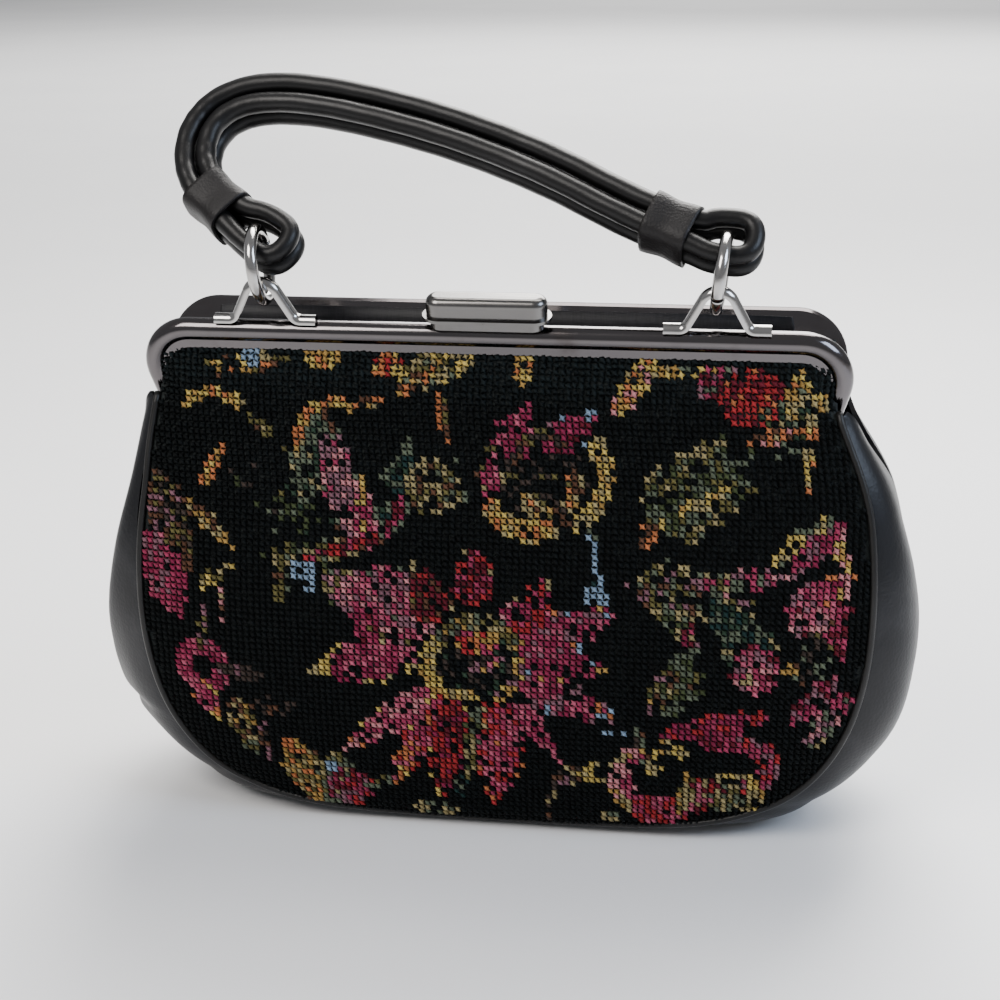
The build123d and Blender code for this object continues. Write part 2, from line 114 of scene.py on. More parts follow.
# %% Lights and floor
LAMPS = (
    # name, turn and rise in degrees, distance, how far behind the bag it is aimed, size, watts, colour
    ("window", 165, 58, 0.9, 0.0, 0.60, 14.0, (1.0, 0.97, 0.93)),
    ("room", -34, 46, 1.1, 0.0, 0.50, 10.0, (1.0, 0.96, 0.92)),
    ("sky", 72, 34, 1.0, 0.0, 0.45, 7.0, (0.66, 0.79, 1.0)),
    ("backdrop", 172, 40, 4.2, 0.0, 3.20, 330.0, (1.0, 0.99, 0.97)),
    ("far floor", 180, 20.5, 6.9, 6.4, 3.00, 110.0, (1.0, 0.99, 0.97)),
)
for name, turn, rise, far, behind, size, power, colour in LAMPS:
    lamp = bpy.data.objects.new(name, bpy.data.lights.new(name, "AREA"))
    lamp.data.size, lamp.data.energy, lamp.data.color = size, power, colour
    lamp.matrix_world = looking(CAMERA_AIM + ray(turn, rise) * far, CAMERA_AIM + Vector((0, behind, 0)))
    bpy.context.scene.collection.objects.link(lamp)

world = bpy.data.worlds.new("room light")
world.use_nodes = True
room_light = world.node_tree.nodes["Background"].inputs
room_light["Color"].default_value, room_light["Strength"].default_value = (0.86, 0.87, 0.90, 1), 0.44
bpy.context.scene.world = world

FLOOR_HALF = 60.0        # metres, so that its far edge is never seen
floor_mesh = bpy.data.meshes.new("floor")
corners = [(-FLOOR_HALF, -FLOOR_HALF, 0), (FLOOR_HALF, -FLOOR_HALF, 0),
           (FLOOR_HALF, FLOOR_HALF, 0), (-FLOOR_HALF, FLOOR_HALF, 0)]
floor_mesh.from_pydata(corners, [], [(0, 1, 2, 3)])
floor = bpy.data.objects.new("floor", floor_mesh)
bpy.context.scene.collection.objects.link(floor)
floor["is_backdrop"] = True
print("lights:", [lamp[0] for lamp in LAMPS])

# %% [markdown]
# ## Writing a finish as sums
# A finish is a small tree of nodes. Two classes let it be written as ordinary arithmetic: a Wire
# is one socket, and adding or multiplying wires adds the Math nodes. A Finish is one material,
# and its node() is the only way that any other kind of node gets in.

# %% The two classes for finishes
class Wire:
    """One output socket that can be used in a sum."""

    def __init__(self, finish, socket):
        self.finish, self.socket = finish, socket

    def math(self, operation, *others):
        values = {index + 1: other for index, other in enumerate(others)}
        return self.finish.node("ShaderNodeMath", {"operation": operation}, {0: self, **values})

    def __add__(self, other):
        return self.math("ADD", other)

    def __mul__(self, other):
        return self.math("MULTIPLY", other)

    def __sub__(self, other):
        return self.math("SUBTRACT", other)

    def __rsub__(self, other):
        return self.finish.node("ShaderNodeMath", {"operation": "SUBTRACT"}, {0: other, 1: self})

    __radd__, __rmul__ = __add__, __mul__

    def between(self, low, high):
        """0 below low, 1 above high, and a soft step from one to the other."""
        settings = {"interpolation_type": "SMOOTHSTEP"}
        return self.finish.node("ShaderNodeMapRange", settings, {0: self, 1: low, 2: high})


class Finish:
    """A material and the nodes that feed its one shader."""

    def __init__(self, name, **constants):
        self.material = bpy.data.materials.new(name)
        self.material.use_nodes = True
        self.tree = self.material.node_tree
        self.shader = self.tree.nodes["Principled BSDF"]
        for socket, value in constants.items():
            self.shader.inputs[socket.replace("_", " ")].default_value = value

    def node(self, kind, settings=None, inputs=None, output=0):
        made = self.tree.nodes.new(kind)
        for name, value in (settings or {}).items():
            setattr(made, name, value)
        for key, value in (inputs or {}).items():
            if isinstance(value, Wire):
                self.tree.links.new(value.socket, made.inputs[key])
            else:
                made.inputs[key].default_value = value
        return Wire(self, made.outputs[output])

    def place(self):
        return self.node("ShaderNodeTexCoord", output="Object")

    def noise(self, where, scale, detail=3.0):
        inputs = {"Vector": where, "Scale": scale, "Detail": detail, "Roughness": 0.55}
        return self.node("ShaderNodeTexNoise", None, inputs)

    def stretched(self, where, scale):
        return self.node("ShaderNodeMapping", None, {"Vector": where, "Scale": scale})

    def blend(self, share, first, second):
        """A colour part way from first to second."""
        inputs = {0: share, 6: (*first, 1.0), 7: (*second, 1.0)}
        return self.node("ShaderNodeMix", {"data_type": "RGBA"}, inputs, output=2)

    def feed(self, socket, wire):
        self.tree.links.new(wire.socket, self.shader.inputs[socket])

    def bump(self, height, deep):
        """Relief of this depth in metres, from a height between 0 and 1."""
        inputs = {"Height": height, "Distance": deep, "Strength": 1.0}
        self.feed("Normal", self.node("ShaderNodeBump", None, inputs))


def paint_white_floor():
    """A pale painted board, faintly uneven."""
    finish = Finish("pale board", Roughness=0.62)
    where = finish.place()
    cloud = finish.noise(where, 3.0)
    finish.feed("Base Color", finish.blend(cloud, (0.70, 0.70, 0.71), (0.78, 0.78, 0.78)))
    finish.bump(finish.noise(where, 420.0, 5.0), 0.00006)
    return finish.material


floor.data.materials.append(paint_white_floor())
print("materials:", len(bpy.data.materials))

# %% [markdown]
# ## Leather, metal and cloth finishes
# Black leather is never one black: it has pebbled grain, paler rubbed patches and softer creases.
# Plated metal is told by what it mirrors, so its finishes vary mostly in roughness, with fine
# scratches and a darker tone where the plating has dulled. Thread takes its colour from each
# stitch and its fuzz from a fine noise.

# %% Leather
def leather(name, tone, rough, grain_scale, grain_deep, crease_deep):
    """Smooth black leather: pebble grain under broad soft creases."""
    finish = Finish(name, Coat_Roughness=0.32, Specular_IOR_Level=0.24)
    where = finish.place()
    pebble = finish.node("ShaderNodeTexVoronoi", {"feature": "F1"}, {"Vector": where, "Scale": grain_scale})
    patch = finish.noise(where, 38.0, 4.0)
    crease = finish.noise(finish.stretched(where, (1.0, 1.0, 0.35)), 130.0, 4.0)
    worn = patch.between(0.52, 0.78)
    dark = tuple(part * 0.62 for part in tone)
    finish.feed("Base Color", finish.blend(worn, dark, tone))
    finish.feed("Roughness", rough + 0.14 * patch - 0.08 * worn)
    finish.feed("Coat Weight", 0.02 + 0.10 * worn)
    relief = pebble * (grain_deep / crease_deep) + crease
    finish.bump(relief, crease_deep * MM)
    return finish.material


gusset_leather = leather("gusset leather", (0.0042, 0.0046, 0.0066), 0.34, 900.0, 0.045, 0.16)
handle_leather = leather("handle leather", (0.0046, 0.0043, 0.0045), 0.33, 1100.0, 0.03, 0.10)
collar_leather = leather("collar leather", (0.0100, 0.0085, 0.0088), 0.44, 1300.0, 0.10, 0.10)
piping_leather = leather("piping leather", (0.012, 0.0115, 0.011), 0.34, 1400.0, 0.05, 0.06)


# %% Metal
def plated(name, bright, dull, rough, scratch_scale):
    """Plated metal with hairline scratches and dulled patches."""
    finish = Finish(name, Metallic=1.0)
    where = finish.place()
    patch = finish.noise(where, 45.0, 5.0)
    hair = finish.noise(finish.stretched(where, (0.06, 1.0, 1.0)), scratch_scale, 3.0)
    tarnish = patch.between(0.50, 0.80)
    finish.feed("Base Color", finish.blend(tarnish, bright, dull))
    finish.feed("Roughness", rough + 0.10 * hair + 0.14 * tarnish)
    finish.bump(hair, 0.00002)
    return finish.material


frame_plate = plated("frame nickel", (0.108, 0.100, 0.102), (0.055, 0.045, 0.042), 0.09, 700.0)
fitting_plate = plated("fitting nickel", (0.40, 0.39, 0.38), (0.20, 0.19, 0.18), 0.09, 900.0)
clasp_plate = plated("clasp nickel", (0.145, 0.140, 0.136), (0.075, 0.070, 0.066), 0.19, 1200.0)
spring_steel = plated("spring steel", (0.45, 0.45, 0.46), (0.30, 0.29, 0.28), 0.22, 1500.0)


# %% Cloth and board
def tapestry_thread():
    """Wool that takes its colour from each stitch."""
    finish = Finish("tapestry wool", Specular_IOR_Level=0.10)
    where = finish.place()
    dye = finish.node("ShaderNodeAttribute", {"attribute_name": "thread"})
    fuzz = finish.noise(where, 2600.0, 2.0)
    shade = finish.blend(fuzz.between(0.30, 0.75), (0.55, 0.55, 0.55), (1.0, 1.0, 1.0))
    settings = {"data_type": "RGBA", "blend_type": "MULTIPLY"}
    colour = finish.node("ShaderNodeMix", settings, {0: 1.0, 6: dye, 7: shade}, output=2)
    finish.feed("Base Color", colour)
    finish.feed("Roughness", 0.62 + 0.25 * fuzz)
    finish.bump(fuzz, 0.00018)
    return finish.material


def plain_cloth(name, low, high, scale, rough, deep):
    """Plain woven cloth seen close: two tones and a fine crossing relief."""
    finish = Finish(name, Specular_IOR_Level=0.3)
    where = finish.place()
    warp = finish.noise(finish.stretched(where, (1.0, 1.0, 0.12)), scale, 2.0)
    weft = finish.noise(finish.stretched(where, (0.12, 1.0, 1.0)), scale, 2.0)
    weave = 0.5 * warp + 0.5 * weft
    finish.feed("Base Color", finish.blend(weave.between(0.35, 0.65), low, high))
    finish.feed("Roughness", rough + 0.2 * weave)
    finish.bump(weave, deep * MM)
    return finish.material


wool = tapestry_thread()
canvas = plain_cloth("tapestry canvas", (0.004, 0.006, 0.006), (0.012, 0.016, 0.016), 1500.0, 0.7, 0.25)
ribbed_lining = plain_cloth("ribbed lining", (0.003, 0.003, 0.004), (0.012, 0.011, 0.013), 1800.0, 0.42, 0.12)
grey_board = plain_cloth("grey board", (0.10, 0.09, 0.08), (0.17, 0.16, 0.15), 900.0, 0.8, 0.10)
print("materials:", len(bpy.data.materials))

# %% [markdown]
# ## From a grid of points to a piece of leather or cloth
# Every soft piece here starts as a grid of points worked out by a formula, so its folds can be
# placed with numbers. One function turns such a grid into a closed sheet with two faces and four
# rims; another sweeps a round section along a path for cords, tubes and rings.

# %% Grid and tube helpers
def add_piece(name, points, faces, material):
    """A smooth mesh object made of these points and faces, turned so that its faces look outwards."""
    mesh = bpy.data.meshes.new(name)
    mesh.from_pydata([tuple(point) for point in points], [], faces)
    mesh.update()
    triangles = np.array([[face[0], face[1], face[2]] for face in faces]
                         + [[face[0], face[2], face[3]] for face in faces if len(face) == 4])
    a, b, c = (np.asarray(points)[triangles[:, corner]] for corner in range(3))
    if np.einsum("ij,ij->", a, np.cross(b, c)) < 0:
        mesh.flip_normals()
    mesh.polygons.foreach_set("use_smooth", [True] * len(mesh.polygons))
    mesh.materials.append(material)
    piece = bpy.data.objects.new(name, mesh)
    bpy.context.scene.collection.objects.link(piece)
    return piece


def grid_faces(rows, columns, first=0, wrap=False):
    """Quads of a grid whose points are numbered along the rows."""
    faces = []
    for row in range(rows - 1):
        for column in range(columns if wrap else columns - 1):
            after = (column + 1) % columns
            low, high = first + row * columns, first + (row + 1) * columns
            faces.append((low + column, low + after, high + after, high + column))
    return faces


BAG_MIDDLE = np.array([0.0, 0.0, 85.0]) * MM


def grid_normals(grid, middle):
    """Unit normals of a grid of points, pointing away from this middle."""
    normals = np.cross(np.gradient(grid, axis=1), np.gradient(grid, axis=0))
    normals /= np.maximum(np.linalg.norm(normals, axis=2, keepdims=True), 1e-12)
    return normals if np.einsum("ijk,ijk->", normals, grid - middle) > 0 else -normals


def sheet_from_grid(name, grid, thick, material, middle=BAG_MIDDLE):
    """A closed sheet: the grid is one face, and the other lies thick behind it, towards the middle."""
    rows, columns = grid.shape[:2]
    behind = grid - grid_normals(grid, middle) * thick
    count = rows * columns
    points = np.concatenate([grid.reshape(-1, 3), behind.reshape(-1, 3)])
    front = grid_faces(rows, columns)
    back = [tuple(reversed(face)) for face in grid_faces(rows, columns, count)]
    rims = []
    edges = [[(0, c) for c in range(columns)], [(rows - 1, c) for c in reversed(range(columns))],
             [(r, columns - 1) for r in range(rows)], [(r, 0) for r in reversed(range(rows))]]
    for edge in edges:
        numbers = [r * columns + c for r, c in edge]
        rims += [(b, a, a + count, b + count) for a, b in zip(numbers, numbers[1:])]
    piece = add_piece(name, points, front + back + rims, material)
    sharp = [index >= len(front) + len(back) for index in range(len(piece.data.polygons))]
    mark_creases(piece, sharp)
    return piece


def mark_creases(piece, flat):
    """Faces that this list names are shaded flat, so that a cut edge looks cut."""
    piece.data.polygons.foreach_set("use_smooth", [not value for value in flat])


def tube(name, path, radius, sides, material, closed=False, squash=None):
    """A round section swept along a path. squash gives factors on the radius all round a point."""
    path = np.asarray(path, float)
    count = len(path)
    radius = np.broadcast_to(radius, (count,))
    run = np.roll(path, -1, axis=0) - np.roll(path, 1, axis=0) if closed else np.gradient(path, axis=0)
    run /= np.linalg.norm(run, axis=1, keepdims=True)
    side = np.cross(run[0], (0.0, 0.0, 1.0))
    if np.linalg.norm(side) < 0.2:
        side = np.cross(run[0], (0.0, 1.0, 0.0))
    angles = np.arange(sides) * 2 * math.pi / sides
    frames = []
    for index in range(count):
        side = side - run[index] * side.dot(run[index])
        side /= np.linalg.norm(side)
        frames.append((side, np.cross(run[index], side)))
    twist = 0.0
    if closed:
        last = frames[-1][0] - run[0] * frames[-1][0].dot(run[0])
        twist = math.atan2(last.dot(frames[0][1]), last.dot(frames[0][0]))
    points = []
    for index, (across, up) in enumerate(frames):
        turned = angles - twist * index / count
        swell = radius[index] * (1.0 if squash is None else squash(index, turned))
        ring = path[index] + np.outer(np.cos(turned) * swell, across) + np.outer(np.sin(turned) * swell, up)
        points.append(ring)
    points = np.concatenate(points)
    faces = grid_faces(count, sides, 0, True)
    if closed:
        low = (count - 1) * sides
        faces += [(low + c, low + (c + 1) % sides, (c + 1) % sides, c) for c in range(sides)]
        return add_piece(name, points, faces, material)
    caps = len(faces)
    points = np.concatenate([points, path[:1], path[-1:]])
    start, end = count * sides, count * sides + 1
    faces += [(start, (c + 1) % sides, c) for c in range(sides)]
    low = (count - 1) * sides
    faces += [(end, low + c, low + (c + 1) % sides) for c in range(sides)]
    piece = add_piece(name, points, faces, material)
    mark_creases(piece, [index >= caps for index in range(len(faces))])
    return piece


def evenly(points, count, closed=False):
    """The same line with this many points, evenly spaced along it."""
    points = np.asarray(points, float)
    if closed:
        points = np.concatenate([points, points[:1]])
    run = np.concatenate([[0.0], np.cumsum(np.linalg.norm(np.diff(points, axis=0), axis=1))])
    places = np.linspace(0, run[-1], count + 1)[:-1] if closed else np.linspace(0, run[-1], count)
    return np.stack([np.interp(places, run, points[:, axis]) for axis in range(points.shape[1])], axis=1)


def eased(corners, closed=False, steps=12):
    """A smooth line inside a run of corners: each corner is rounded from mid-run to mid-run."""
    corners = np.asarray(corners, float)
    count = len(corners)
    line = [] if closed else [corners[:1]]
    for index in range(count) if closed else range(1, count - 1):
        here = corners[index]
        start = (corners[index - 1] + here) / 2 if closed or index > 1 else corners[0]
        end = (corners[(index + 1) % count] + here) / 2 if closed or index < count - 2 else corners[-1]
        share = np.linspace(0, 1, steps, endpoint=False)[:, None]
        line.append((1 - share) ** 2 * start + 2 * share * (1 - share) * here + share ** 2 * end)
    if not closed:
        line.append(corners[-1:])
    return np.concatenate(line)


def soft_step(low, high, value):
    """0 below low, 1 above high, smooth between."""
    share = np.clip((value - low) / (high - low), 0, 1)
    return share * share * (3 - 2 * share)


print("helpers ready")

# %% [markdown]
# ## The pouch's form
# Seen from above, the pouch is a rounded oblong at every height: narrow on the floor, fullest a
# little below mid-height and pinched at the frame. A superellipse has that shape, so three curves
# say the whole form: half width, half depth and squareness, each by height. The two tapestry
# panels and the leather strip between them are cut from this one surface, so their edges meet.

# %% Pouch surface
POUCH_HEIGHT = np.array([0.0, 4.0, 14.0, 34.0, 66.0, 96.0, 126.0, 151.0, 168.0])
POUCH_HALF_WIDTH = np.array([84.0, 99.0, 114.0, 130.0, 139.0, 136.5, 128.0, 119.5, 117.0])
POUCH_HALF_DEPTH = np.array([29.0, 35.5, 39.5, 42.5, 44.0, 41.5, 33.5, 23.0, 17.0])
POUCH_SQUARENESS = np.array([3.4, 3.8, 4.4, 5.0, 5.0, 5.2, 6.0, 7.0, 10.0])


def smooth_value(places, values, at):
    """Smooth curve through values given at places."""
    slopes = np.gradient(values, places)
    at = np.clip(at, places[0], places[-1])
    k = np.clip(np.searchsorted(places, at) - 1, 0, len(places) - 2)
    span = places[k + 1] - places[k]
    t = (at - places[k]) / span
    return ((1 + 2 * t) * (1 - t) ** 2 * values[k] + t * (1 - t) ** 2 * span * slopes[k]
            + t * t * (3 - 2 * t) * values[k + 1] + t * t * (t - 1) * span * slopes[k + 1])


SLUMP = 4.3              # the soft pouch has slumped this far to the right, below the frame


def slump(z):
    """Sideways slump of the soft pouch at this height."""
    return SLUMP * (1 - soft_step(116.0, 156.0, z))


def pouch_size(z):
    """Half width and half depth in millimetres, and squareness, at a height."""
    curves = (POUCH_HALF_WIDTH, POUCH_HALF_DEPTH, POUCH_SQUARENESS)
    return tuple(smooth_value(POUCH_HEIGHT, curve, z) for curve in curves)


def pouch_depth(x, z):
    """How far the pouch's front stands out at this place."""
    half_width, half_depth, squareness = pouch_size(z)
    share = np.clip(np.abs(x) / half_width, 0, 0.9999)
    return half_depth * (1 - share ** squareness) ** (1 / squareness)


# The line that a panel's edge follows, seen square on: from its top corner to mid-floor.
PANEL_EDGE = ((113.0, 165.6), (113.4, 158.0), (111.8, 150.0), (113.8, 143.0), (117.4, 130.0),
              (120.8, 110.0), (122.0, 86.0), (120.6, 64.0), (115.8, 44.0), (106.5, 26.5), (92.0, 13.8),
              (72.0, 7.2), (44.0, 4.0), (0.0, 2.8))
HINGE_Z, LEAF_TILT = 116.0, math.radians(14.4)
SLOT_RISE = 3.4          # the cloth lies this far out from a leaf's mating plane, in its slot


def slot_depth(z):
    """Where the slot of a leaf lies at this height, out from the middle of the bag."""
    return (z - HINGE_Z) * math.tan(LEAF_TILT) + SLOT_RISE / math.cos(LEAF_TILT)


LEG_FOOT_X, LEG_FOOT_Z, LEG_SPREAD = 109.0, 124.0, 0.115    # the slot's edge along a leaf's leg
RAIL_SLOT_Z, SLOT_CORNER = 168.5, 9.0                       # under the rail, and its corner radius
SWELL_SLOPE, SWELL_BLEND = 1.25, 2.2                        # how fast the cloth swells out of the slot


def frame_gap(x, z):
    """How far from the frame's slot a place on the panel is."""
    leg = np.maximum((LEG_FOOT_X + (z - LEG_FOOT_Z) * LEG_SPREAD) - np.abs(x), 0)
    rail = np.maximum(RAIL_SLOT_Z - z, 0)
    corner = SLOT_CORNER - np.hypot(np.maximum(SLOT_CORNER - leg, 0), np.maximum(SLOT_CORNER - rail, 0))
    return np.maximum(np.minimum(np.minimum(leg, rail), corner), 0)


def panel_depth(x, z):
    """The pouch's front, drawn in at its top edge and top corners to the frame's slot."""
    free = pouch_depth(x, z)
    tucked = slot_depth(z) + SWELL_SLOPE * frame_gap(x, z)
    closest = -SWELL_BLEND * np.logaddexp(-free / SWELL_BLEND, -tucked / SWELL_BLEND)
    puff = 0.9 * np.exp(-((z - 153.0) / 9.0) ** 2) * (1 - soft_step(88.0, 108.0, np.abs(x)))
    return free + (closest - free) * soft_step(147.0, 157.0, z) + puff


edge_right = evenly(eased(np.array(PANEL_EDGE)), 240)
print("panel's edge in mm:", round(float(np.linalg.norm(np.diff(edge_right, axis=0), axis=1).sum() * 2)))

# %% [markdown]
# ## The print: flowers drawn with lenses, arcs and spots
# The tapestry is a garden pattern of one big open flower with roses and leaf sprays round it, on
# black. Old needlework of this kind is drawn in coloured squares, one for each stitch, so the
# pattern is worked out per stitch: each petal or leaf is a lens, each curl an arc, each bud a
# spot. A lens can have a second set of colours at its tip. Its edge is ragged and a share of its
# stitches is left black, because worn wool looks gappy and uneven.

# %% Colours of wool
FADED, GREYING = 0.72, 0.14   # old wool: a little darker and greyer than new


def wool_colour(red, green, blue):
    """A dyed wool, from ordinary 0 to 255 values to the linear values that shaders use."""
    dyed = np.array([(part / 255) ** 2.2 for part in (red, green, blue)])
    return FADED * (dyed * (1 - GREYING) + dyed.mean() * GREYING)


BLACK = wool_colour(17, 22, 23)
DYES = {
    "pink": (205, 88, 118), "rose": (178, 50, 92), "magenta": (150, 26, 74), "blush": (222, 136, 142),
    "red": (186, 34, 42), "wine": (112, 24, 44), "mauve": (148, 98, 112), "orange": (216, 122, 62),
    "ochre": (192, 148, 66), "yellow": (222, 190, 84), "straw": (176, 158, 104), "olive": (112, 104, 56),
    "moss": (74, 84, 52), "sage": (104, 114, 92), "fern": (52, 72, 56), "teal": (34, 62, 60),
    "sky": (138, 168, 198), "brown": (108, 72, 52), "bark": (72, 60, 54),
}
WOOLS = {name: wool_colour(*dye) for name, dye in DYES.items()}


class Needlework:
    """Colours of all the stitches of one panel, painted motif by motif."""

    def __init__(self, x, z, seed):
        self.x, self.z = x, z
        self.dice = np.random.default_rng(seed)
        # The black ground wool varies at random in tone. Below the frame its top rows are painted up to 3.4
        # times paler: partly greyer, fuzzier wool, and partly a painted highlight on the puffed cloth under
        # the rail.
        shade = self.dice.uniform(0.5, 1.2, len(x)) * (1 + 2.4 * soft_step(146.0, 160.0, z))
        self.colour = BLACK * shade[:, None]

    def fill(self, mask, names, keep=0.9):
        """Dye the stitches of the mask, each in one of the named wools, and leave some of them black."""
        names = names.split()
        pick = self.dice.integers(0, len(names), len(self.x))
        dyed = np.array([WOOLS[name] for name in names])[pick]
        dyed = dyed * self.dice.uniform(0.72, 1.18, (len(self.x), 1))
        chosen = mask & (self.dice.random(len(self.x)) < keep)
        self.colour[chosen] = dyed[chosen]

    def lens(self, x, z, angle, length, width, names, tip="", tip_share=0.3, keep=0.86, bend=0.0, blunt=0.8):
        """A petal or leaf that starts at x, z and points at angle."""
        turn = math.radians(angle)
        along = (self.x - x) * math.cos(turn) + (self.z - z) * math.sin(turn)
        share = np.clip(along / length, 0, 1)
        across = (self.z - z) * math.cos(turn) - (self.x - x) * math.sin(turn) - bend * length * share ** 2
        ragged = self.dice.uniform(0.74, 1.14, len(self.x))
        half = width / 2 * np.sin(math.pi * share ** blunt) ** 0.75 * ragged
        inside = (along > 0) & (along < length) & (np.abs(across) < half)
        self.fill(inside, names, keep)
        if tip:
            outer = (share > 1 - tip_share) | (np.abs(across) > half * (1 - tip_share * 0.6))
            self.fill(inside & outer, tip, keep)

    def arc(self, x, z, radius, thick, start, end, names, keep=0.9):
        """A curl: part of a ring round x, z from start to end degrees."""
        angle = (np.degrees(np.arctan2(self.z - z, self.x - x)) - start) % 360
        far = np.hypot(self.x - x, self.z - z)
        self.fill((np.abs(far - radius) < thick / 2) & (angle < end - start), names, keep)

    def spot(self, x, z, wide, tall, names, keep=0.9):
        """A bud or a fragment: a small oval."""
        self.fill(((self.x - x) / wide) ** 2 + ((self.z - z) / tall) ** 2 < 1, names, keep)

    def sprig(self, x, z, angle, length, leaves, leaf, names, tip="", keep=0.8):
        """A stem with leaves in pairs along it and one at its end."""
        turn = math.radians(angle)
        for index in range(leaves):
            share = (index + 1) / (leaves + 1)
            place = x + math.cos(turn) * length * share, z + math.sin(turn) * length * share
            leaf_length, leaf_width = leaf * (1.1 - 0.4 * share), leaf * 0.42
            for side in (-48, 48):
                self.lens(*place, angle + side, leaf_length, leaf_width, names, tip, keep=keep)
        self.lens(x, z, angle, length * 1.25, leaf * 0.30, names, keep=keep)


print("wools:", len(WOOLS))


# %% The big open flower
def open_flower(work, x, z):
    """Loose petals of many sizes round a yellow ring, most with a pale or a yellow rim."""
    work.lens(x - 14, z + 10, 152, 44, 20, "blush pink mauve rose", "straw olive mauve", 0.22, bend=0.05)
    work.lens(x - 18, z + 14, 128, 24, 15, "pink mauve rose blush", "mauve sage", 0.2)
    work.lens(x - 18, z + 2, 186, 40, 17, "magenta rose pink magenta", "yellow straw", 0.20, bend=0.10)
    work.lens(x - 34, z + 4, 112, 16, 9, "magenta wine rose")
    work.lens(x - 14, z - 9, 224, 42, 13, "pink blush pink rose", "yellow orange blush", 0.16, bend=-0.06)
    work.lens(x - 12, z - 12, 246, 42, 12, "pink red rose orange", "yellow orange", 0.22)
    work.lens(x - 6, z - 14, 258, 42, 14, "red wine red magenta", "yellow orange red", 0.16, bend=0.04)
    work.lens(x + 1, z - 15, 262, 30, 9, "sage olive straw moss", keep=0.8)
    work.lens(x + 4, z - 14, 276, 26, 8, "red orange red straw", bend=-0.06)
    work.lens(x + 9, z - 12, 272, 44, 17, "rose pink red rose", "red rose orange", 0.2, bend=-0.14)
    work.lens(x + 12, z - 12, 304, 30, 9, "rose pink magenta", "pink", 0.2)
    work.lens(x + 14, z - 6, 340, 36, 14, "rose mauve magenta pink", "sky mauve orange", 0.22)
    work.lens(x + 14, z + 2, 356, 30, 12, "magenta rose magenta", "ochre rose sky", 0.2)
    work.lens(x + 13, z + 4, 28, 38, 15, "rose magenta pink mauve", "orange sky pink", 0.2, bend=-0.04)
    work.lens(x + 12, z + 8, 62, 26, 15, "red rose red magenta", "blush straw", 0.14, blunt=0.6)
    work.lens(x + 1, z + 20, 98, 20, 15, "red rose red wine", "wine straw", 0.14)
    work.lens(x - 12, z + 14, 112, 22, 14, "wine red brown wine", "olive straw", 0.14, blunt=0.6)
    work.spot(x, z, 15, 13, "bark fern bark", 0.35)
    work.arc(x + 1, z + 1, 14, 5.4, 20, 175, "ochre straw sage olive", 0.75)
    work.arc(x - 5, z - 1, 11, 5.4, 130, 300, "yellow ochre yellow straw", 0.95)
    work.arc(x + 4, z - 1, 11, 5.0, 280, 380, "ochre yellow mauve", 0.85)
    work.spot(x + 1, z + 7, 7, 4.5, "red orange rose ochre", 0.95)
    work.lens(x - 3, z - 3, 20, 15, 5, "blush mauve pink ochre", keep=0.85)


